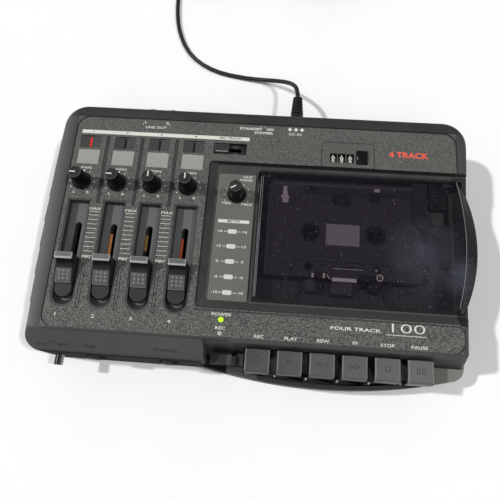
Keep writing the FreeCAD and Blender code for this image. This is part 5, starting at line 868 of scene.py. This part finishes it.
def key_guides(pale):
    """Pale posts that stand on the tray's floor in the gaps between the keys."""
    post = block("post", (-0.55, 0.55), (-0.7, 0.7), (4.98, 23.0), 0.2)
    posts = set_out(post, [(17.4, -88.2, 0), (37.3, -88.6, 0), (57.2, -88.6, 0),
                           (77.1, -88.4, 0), (97.0, -87.4, 0)])
    dress(joined("key_guides", posts), pale, "label_white")


# ---- under and on the lid

def wire_guard(ink_and_shade):
    """Guard on three feet on the deck, with an arm over the cassette's back edge."""
    guard = slab("wire_guard", [(101.6, 42.0), (101.6, 16.0), (105.4, 10.6), (110.6, 8.8),
                                (119.4, 4.8), (119.2, -14.6), (128.2, -14.2), (128.6, 12.6),
                                (115.6, 14.0), (111.3, 18.2), (111.0, 42.0)], 41.0, 42.6, 0.3)
    feet = [block("foot", x, y, (DECK - SUNK, 41.3)) for x, y in (
        ((108.0, 110.4), (36.0, 41.0)), ((121.0, 126.0), (-13.0, -9.0)),
        ((124.4, 127.6), (6.0, 11.0)))]
    arm = block("arm", (30.6, 101.9), (31.8, 37.1), (CASSETTE - SUNK, 41.3), 0.2)
    dress(joined("wire_guard", [guard, arm, *feet]), ink_and_shade, "black_plastic")


def deck_catches(black):
    """Dark hatch and catches, lines in the cassette's raised front, and dark patches over its holes
    as painted shade.
    """
    pieces = [block("rear_hatch", (112.8, 123.6), (24.6, 42.0), (DECK - SUNK, 41.6), 0.4)]
    pieces += [block("catch", x, y, (40.3, top), 0.25) for x, y, top in (
        ((33.4, 37.6), (33.4, 36.8), 42.4), ((48.8, 60.6), (24.4, 31.4), 41.4),
        ((72.6, 80.2), (28.0, 33.8), 41.4))]
    low, high = NOSE - SUNK, NOSE + 0.08
    pieces += [block("hole_shade", x, y, (low, NOSE + 0.1)) for x, y in (
        ((38.5, 46.9), (-26.4, -22.8)), ((66.2, 83.0), (-26.4, -23.4)))]
    pieces += [block("line", x, y, (low, high)) for x, y in (
        ((41.7, 70.8), (-19.1, -18.6)), ((26.6, 85.4), (-16.25, -15.7)))]
    for x, lean in ((24.6, 1.6), (87.2, -1.6)):
        pieces.append(slab("line", [(x - lean - 0.3, -26.0), (x - lean + 0.3, -26.0),
                                    (x + lean + 0.3, -16.0), (x + lean - 0.3, -16.0)],
                           low, high))
    dress(joined("deck_catches", pieces), black, "black_plastic")


def hub_collars(black):
    # dark rings round the hub holes: painted shade that widens the dark of the holes
    shade_ring = turned("shade_ring", [(4.9, 0), (6.8, 0), (6.8, 0.1), (4.9, 0.1), (4.9, 0)], 40)
    shade_rings = set_out(shade_ring, [(x, y, CASSETTE - 0.01) for x, y in REELS])
    dress(joined("hub_collars", shade_rings), black, "black_plastic")


def holder_spring(lilac):
    """Pale leaf spring and catch tip that hold the cassette down."""
    low = CASSETTE - SUNK
    spring = slab("holder_spring", [(15.7, 23.9), (19.5, 24.0), (19.5, 27.2), (20.0, 27.4),
                                    (20.0, 29.0), (18.9, 29.4), (18.9, 32.0), (18.4, 32.4),
                                    (18.4, 36.0), (15.8, 36.0), (15.8, 32.4), (15.6, 32.0),
                                    (15.6, 29.4), (14.4, 29.0), (14.4, 27.4), (15.6, 27.2)],
                  low, 41.2, 0.2)
    tip = block("catch_tip", (76.4, 80.2), (34.6, 37.1), (low, 41.8), 0.3)
    dress(joined("holder_spring", [spring, tip]), lilac, "label_white")


def deck_fittings(shine):
    """Bright pins, pad and eye in the openings of the cassette's raised front: chrome painted pale
    as its reflection.
    """
    low = NOSE - SUNK
    bits = [block("bit", x, y, (low, top), 0.15) for x, y, top in (
        ((36.9, 38.2), (-27.0, -24.0), 42.7), ((44.0, 45.4), (-27.0, -23.6), 42.7),
        ((49.8, 65.4), (-28.6, -26.2), 42.5), ((50.2, 69.6), (-20.2, -19.9), 42.04))]
    bits.append(slab("bit", [(46.2, -24.5), (46.7, -24.3), (48.9, -27.3), (48.3, -27.5)],
                     low, 42.4))
    for x, radius in ((88.7, 0.35), (91.4, 0.4), (93.8, 0.35)):
        pin = turned("pin", [(0, 0), (radius, 0), (0, 0.2)], 10)
        bits.append(settle(pin, (x, -25.9, low)))
    eye = turned("eye", [(1.5, 0), (2.3, 0), (2.3, 0.4), (2.0, 0.6), (1.5, 0.3), (1.5, 0)], 28)
    bits.append(settle(eye, (80.0, -24.6, NOSE + 0.1)))
    dress(joined("deck_fittings", bits), shine, "chrome")


def deck_screws(dusk):
    """Pan heads with a hollow in the middle."""
    head = turned("deck_screw", [(0, 0), (1.3, 0), (1.3, 0.5), (0.9, 0.8), (0, 0.85)], 24)
    edit()
    choose(head, "FACE", lambda c, n: n.z > 0.9 and c.xy.length < 0.8)
    bpy.ops.mesh.inset(thickness=0.2 * MM)
    bpy.ops.transform.translate(value=(0, 0, -0.25 * MM))
    leave()
    screws = set_out(head, [(20.6, -33.6, DECK), (101.0, -29.8, DECK)])
    dress(joined("deck_screws", screws), dusk, "chrome")


def lid_edges(glint):
    """Pale lines where the walls of the lid meet its face: painted highlights of light caught in
    the walls.
    """
    outer = arc((-33.98, 1.75), 166.35, -15.4, 13.5, 28)
    inner = arc((-33.98, 1.75), 165.95, 13.5, -15.4, 28)
    lines = [slab("edge", outer + inner, 50.44, 50.53),
             block("edge", (0.75, 1.05), (-43.6, 38.0), (50.44, 50.53)),
             block("edge", (2.05, 2.3), (-42.8, 38.0), (50.44, 50.53)),
             block("edge", (1.3, 1.75), (-43.2, 8.0), (50.44, 50.5))]
    dress(joined("lid_edges", lines), glint, "lid_plastic", "lid")


# ---- key marks and counter

def key_symbols(ink_and_shade):
    """Raised outlines on the keys: circle, triangle, two arrows each way, square, two bars."""
    def mark(outline, width):
        return ring("mark", outline, width, *KEY_MARK)

    def at(index, shift=0.0):
        return FIRST_KEY + KEY_PITCH * index + shift, -80.4, 0
    arrow = mark([(-1.7, -1.6), (1.7, 0), (-1.7, 1.6)], 0.38)
    arrows = set_out(arrow, [at(2, -1.9), at(2, 1.9), at(3, -1.9), at(3, 1.9)], (180, 180, 0, 0))
    upright = mark([(-0.9, -1.7), (0.9, -1.7), (0.9, 1.7), (-0.9, 1.7)], 0.4)
    square = mark([(-1.6, -1.6), (1.6, -1.6), (1.6, 1.6), (-1.6, 1.6)], 0.45)
    marks = {"rec_key": [settle(mark(arc((0, 0), 2.0, 0, 345, 23), 0.45), at(0))],
             "play_key": [settle(mark([(-1.4, -1.7), (1.8, 0), (-1.4, 1.7)], 0.4), at(1))],
             "rewind_key": arrows[:2], "forward_key": arrows[2:],
             "stop_key": [settle(square, at(4))],
             "pause_key": set_out(upright, [at(5, -1.6), at(5, 1.6)])}
    for name, pieces in marks.items():
        dress(joined(f"{name}_mark", pieces), ink_and_shade, "key_plastic", name)


def counter_digits(pale):
    """Ten numbers round each wheel, with nought in the window."""
    wheels = ("hundreds", "tens", "units")
    numbers = joined("digits", [
        settle(words(str(number), 0, 0, 2.45, 1.3, 0.02, 3.99), turn=(-36.0 * number, 0, 0))
        for number in range(10)])
    rows = set_out(numbers, [(x, 55.5, 43.2) for x in (47.8, 53.5, 59.2)],
                   names=[f"{wheel}_digits" for wheel in wheels])
    for row, wheel in zip(rows, wheels):
        dress(row, pale, "label_white", f"counter_{wheel}")


def counter_window(paint, ink_and_shade):
    """Raised dark outline round the counter, painted shade along the frame's edge, and the bars
    between its wheels.
    """
    def arch(radius, left=42.6, right=72.4, top=64.2, foot=48.6):
        return [(left - radius, foot), *arc((left, top), radius, 180, 90, 8),
                *arc((right, top), radius, 90, 0, 8), (right + radius, foot)]
    outline = slab("counter_outline", arch(2.8) + arch(2.35)[::-1], PANEL, 48.27)
    dress(outline, ink_and_shade, "case_plastic")
    post = block("window_bar", (-0.35, 0.35), (51.95, 58.45), (47.5, 48.15), 0.1)
    bars = set_out(post, [(50.65, 0, 0), (56.35, 0, 0)])
    dress(joined("window_bars", bars), paint, "case_plastic")


# ---- room

def set_room():
    deselect()
    bpy.ops.mesh.primitive_plane_add(size=4.0, location=(0, 0, 0))
    floor = named("floor")
    finish = Finish("floor_paper", 0.9, specular=0.1)
    finish.colour(finish.tint((0.955, 0.955, 0.955, 1), 0.01, finish.noise(60.0)))
    floor.data.materials.append(finish.made)
    world = bpy.data.worlds.new("room")
    bpy.context.scene.world = world
    world.use_nodes = True
    sky = next(n for n in world.node_tree.nodes if n.type == "BACKGROUND")
    sky.inputs["Color"].default_value = (0.27, 0.272, 0.28, 1)
    sky.inputs["Strength"].default_value = 1.0
    for name, power, spread, turn in (("left_light", 1.75, 2.5, (0, -38.5, -4)),
                                      ("right_light", 1.0, 2.5, (0, 29.5, -8)),
                                      ("front_light", 0.25, 30.0, (38, 0, 0))):
        data = bpy.data.lights.new(name, "SUN")
        data.energy, data.angle = power, math.radians(spread)
        lamp = added(bpy.data.objects.new(name, data))
        lamp.rotation_euler = [math.radians(angle) for angle in turn]
    bpy.context.scene.view_settings.view_transform = "Standard"


# ---- everything together

def cover_case(paint, black, jacket, hollow):
    """Finishes of the nodes that show as the CAD made them."""
    steel = metal("steel", (0.55, 0.55, 0.54, 1), 0.35)
    for finish, names in (
        (paint, ["top_case", "counter_frame"]),
        (tray_plastic(), ["bottom_case"]),
        (jacket, ["mains_adapter"]),
        (black, ["counter_hundreds", "counter_tens", "counter_units", "supply_spindle",
                 "takeup_spindle", "dc_socket", "power_switch", "drive_belt", "pinch_roller"]),
        (hollow, ["control_pots", "front_jacks"]),
        (key_plastic(), KEYS),
        (smoked_plastic(), ["cassette_lid"]),
        (write_on_label(), ["label_strips"]),
        (lamp_lens("slit_lens", 0.25, ("X", -125.0, -111.0), (rgb(24, 12, 12), rgb(190, 30, 24)),
                   rgb(220, 44, 30), 0.5, 0.5), ["track_lamps"]),
        (lamp_lens("signal_lens", 0.2, ("Y", -62.5, -55.0),
                   (rgb(176, 178, 172), rgb(176, 226, 40)), rgb(178, 235, 30), 0.55, 0.6),
         ["signal_lamps"]),
        (tape_and_hub(), ["supply_reel", "takeup_reel"]),
        (trim_metal(), ["trim_knob"]),
        (steel, ["case_screws", "capstan_flywheel", "key_shaft"]),
        (metal("chrome", (0.78, 0.78, 0.78, 1), 0.12), ["line_out_jacks"]),
        (metal("pressed_can", (0.6, 0.59, 0.57, 1), 0.4), ["drive_motor"]),
        (metal("brass", (0.62, 0.44, 0.2, 1), 0.3), ["motor_pulley"]),
        (moulded("dark_plastic", rgb(57, 57, 56), 0.5), ["track_tiles"]),
        (moulded("meter_plastic", rgb(99, 99, 93), 0.55, 0.4, 0.02, 0.08), ["meter_panel"]),
        (moulded("milky_lens", rgb(206, 208, 202), 0.3, 0.6, 0.0, 0.04), ["meter_lenses"]),
        (moulded("board_green", rgb(40, 84, 50), 0.4, 1.5, 0.01), ["main_board"]),
        (moulded("foot_rubber", grey(30), 0.85, 0.8, 0.05), ["rubber_feet"]),
        (moulded("deck_black", rgb(72, 69, 76), 0.5),
         ["deck_plate", "head_plate", "tape_heads", "lid_hinge_pins"]),
        (moulded("cassette_black", rgb(60, 56, 62), 0.5), ["cassette_shell"]),
        (moulded("window_plastic", rgb(165, 150, 165), 0.3, 1.0, 0.0, 0.04),
         ["cassette_window"])):
        for name in names:
            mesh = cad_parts[name].data
            mesh.materials.clear()
            mesh.materials.append(finish)
    return steel


def build():
    set_camera()
    jacket = moulded("lead_jacket", rgb(20, 20, 21), 0.5, 0.4, 0.01, 0.15)
    lead = power_lead(jacket)
    relief = plug(jacket)
    paint = case_paint()
    black = moulded("satin_black", rgb(18, 18, 19), 0.38, share=0.2)
    hollow = moulded("hollow_black", rgb(12, 12, 13), 0.6)
    gloss = moulded("gloss_black", rgb(7, 7, 8), 0.2, 0.6, 0.004, 0.15, 0.3)
    pale = moulded("pale_print", rgb(214, 214, 204), 0.6, 0.5, 0.0, 0.05)
    ink_and_shade = moulded("dark_print", rgb(40, 40, 42), 0.6, 0.5, 0.0, 0.05)
    orange = moulded("orange_print", rgb(238, 92, 68), 0.5, 0.5, 0.0, 0.04)
    # pale grey for painted highlights on the faders' grip bars and the selector
    highlight_grey = moulded("grip_highlight", rgb(168, 169, 168), 0.3, 0.4, 0.008, 0.08)
    dusk = moulded("deck_grey", rgb(78, 80, 76), 0.5)
    steel = cover_case(paint, black, jacket, hollow)
    panel_print(pale)
    meter_print(pale)
    stripe(pale, ink_and_shade)
    apron_print(ink_and_shade)
    dress(words("4 TRACK", 97.8, 59.7, 4.0, 1.12, 0.03), orange, "label_white")
    # cap rims in a paler grey: a painted highlight
    knobs(gloss, moulded("cap_grey", rgb(50, 51, 50), 0.6, specular=0.05),
          moulded("cap_rim", rgb(70, 71, 69), 0.4, specular=0.2), pale)
    faders(fader_plastic(), moulded("fader_pad", rgb(68, 70, 72), 0.42, 0.4, 0.01),
           moulded("fader_edge", rgb(150, 151, 150), 0.34, 0.4, 0.008, 0.08), highlight_grey,
           moulded("grip_grey", rgb(96, 97, 96), 0.36, 0.5, 0.008, 0.06), steel)
    fader_tracks()
    selector(moulded("barrel_black", rgb(52, 52, 53), 0.35, specular=0.3), highlight_grey)
    reset_button(gloss)
    key_symbols(ink_and_shade)
    key_guides(pale)
    counter_digits(pale)
    counter_window(paint, ink_and_shade)
    wire_guard(ink_and_shade)
    deck_catches(hollow)
    hub_collars(hollow)
    holder_spring(moulded("spring_plastic", rgb(206, 184, 198), 0.4, 1.0, 0.0, 0.08))
    # chrome fittings painted pale as their reflection
    deck_fittings(moulded("fitting_reflection", rgb(226, 214, 220), 0.3, 1.0, 0.0, 0.05))
    deck_screws(dusk)
    dress(block("deck_patch", (110.4, 123.2), (13.0, 24.0), (DECK - SUNK, 38.0), 0.3), dusk,
          "meter_plastic")
    # pale plastic for the painted highlights along the lid's walls
    lid_edges(moulded("lid_edge", rgb(126, 121, 127), 0.2, 1.5, 0.0, 0.3))
    set_room()


build()
deselect()
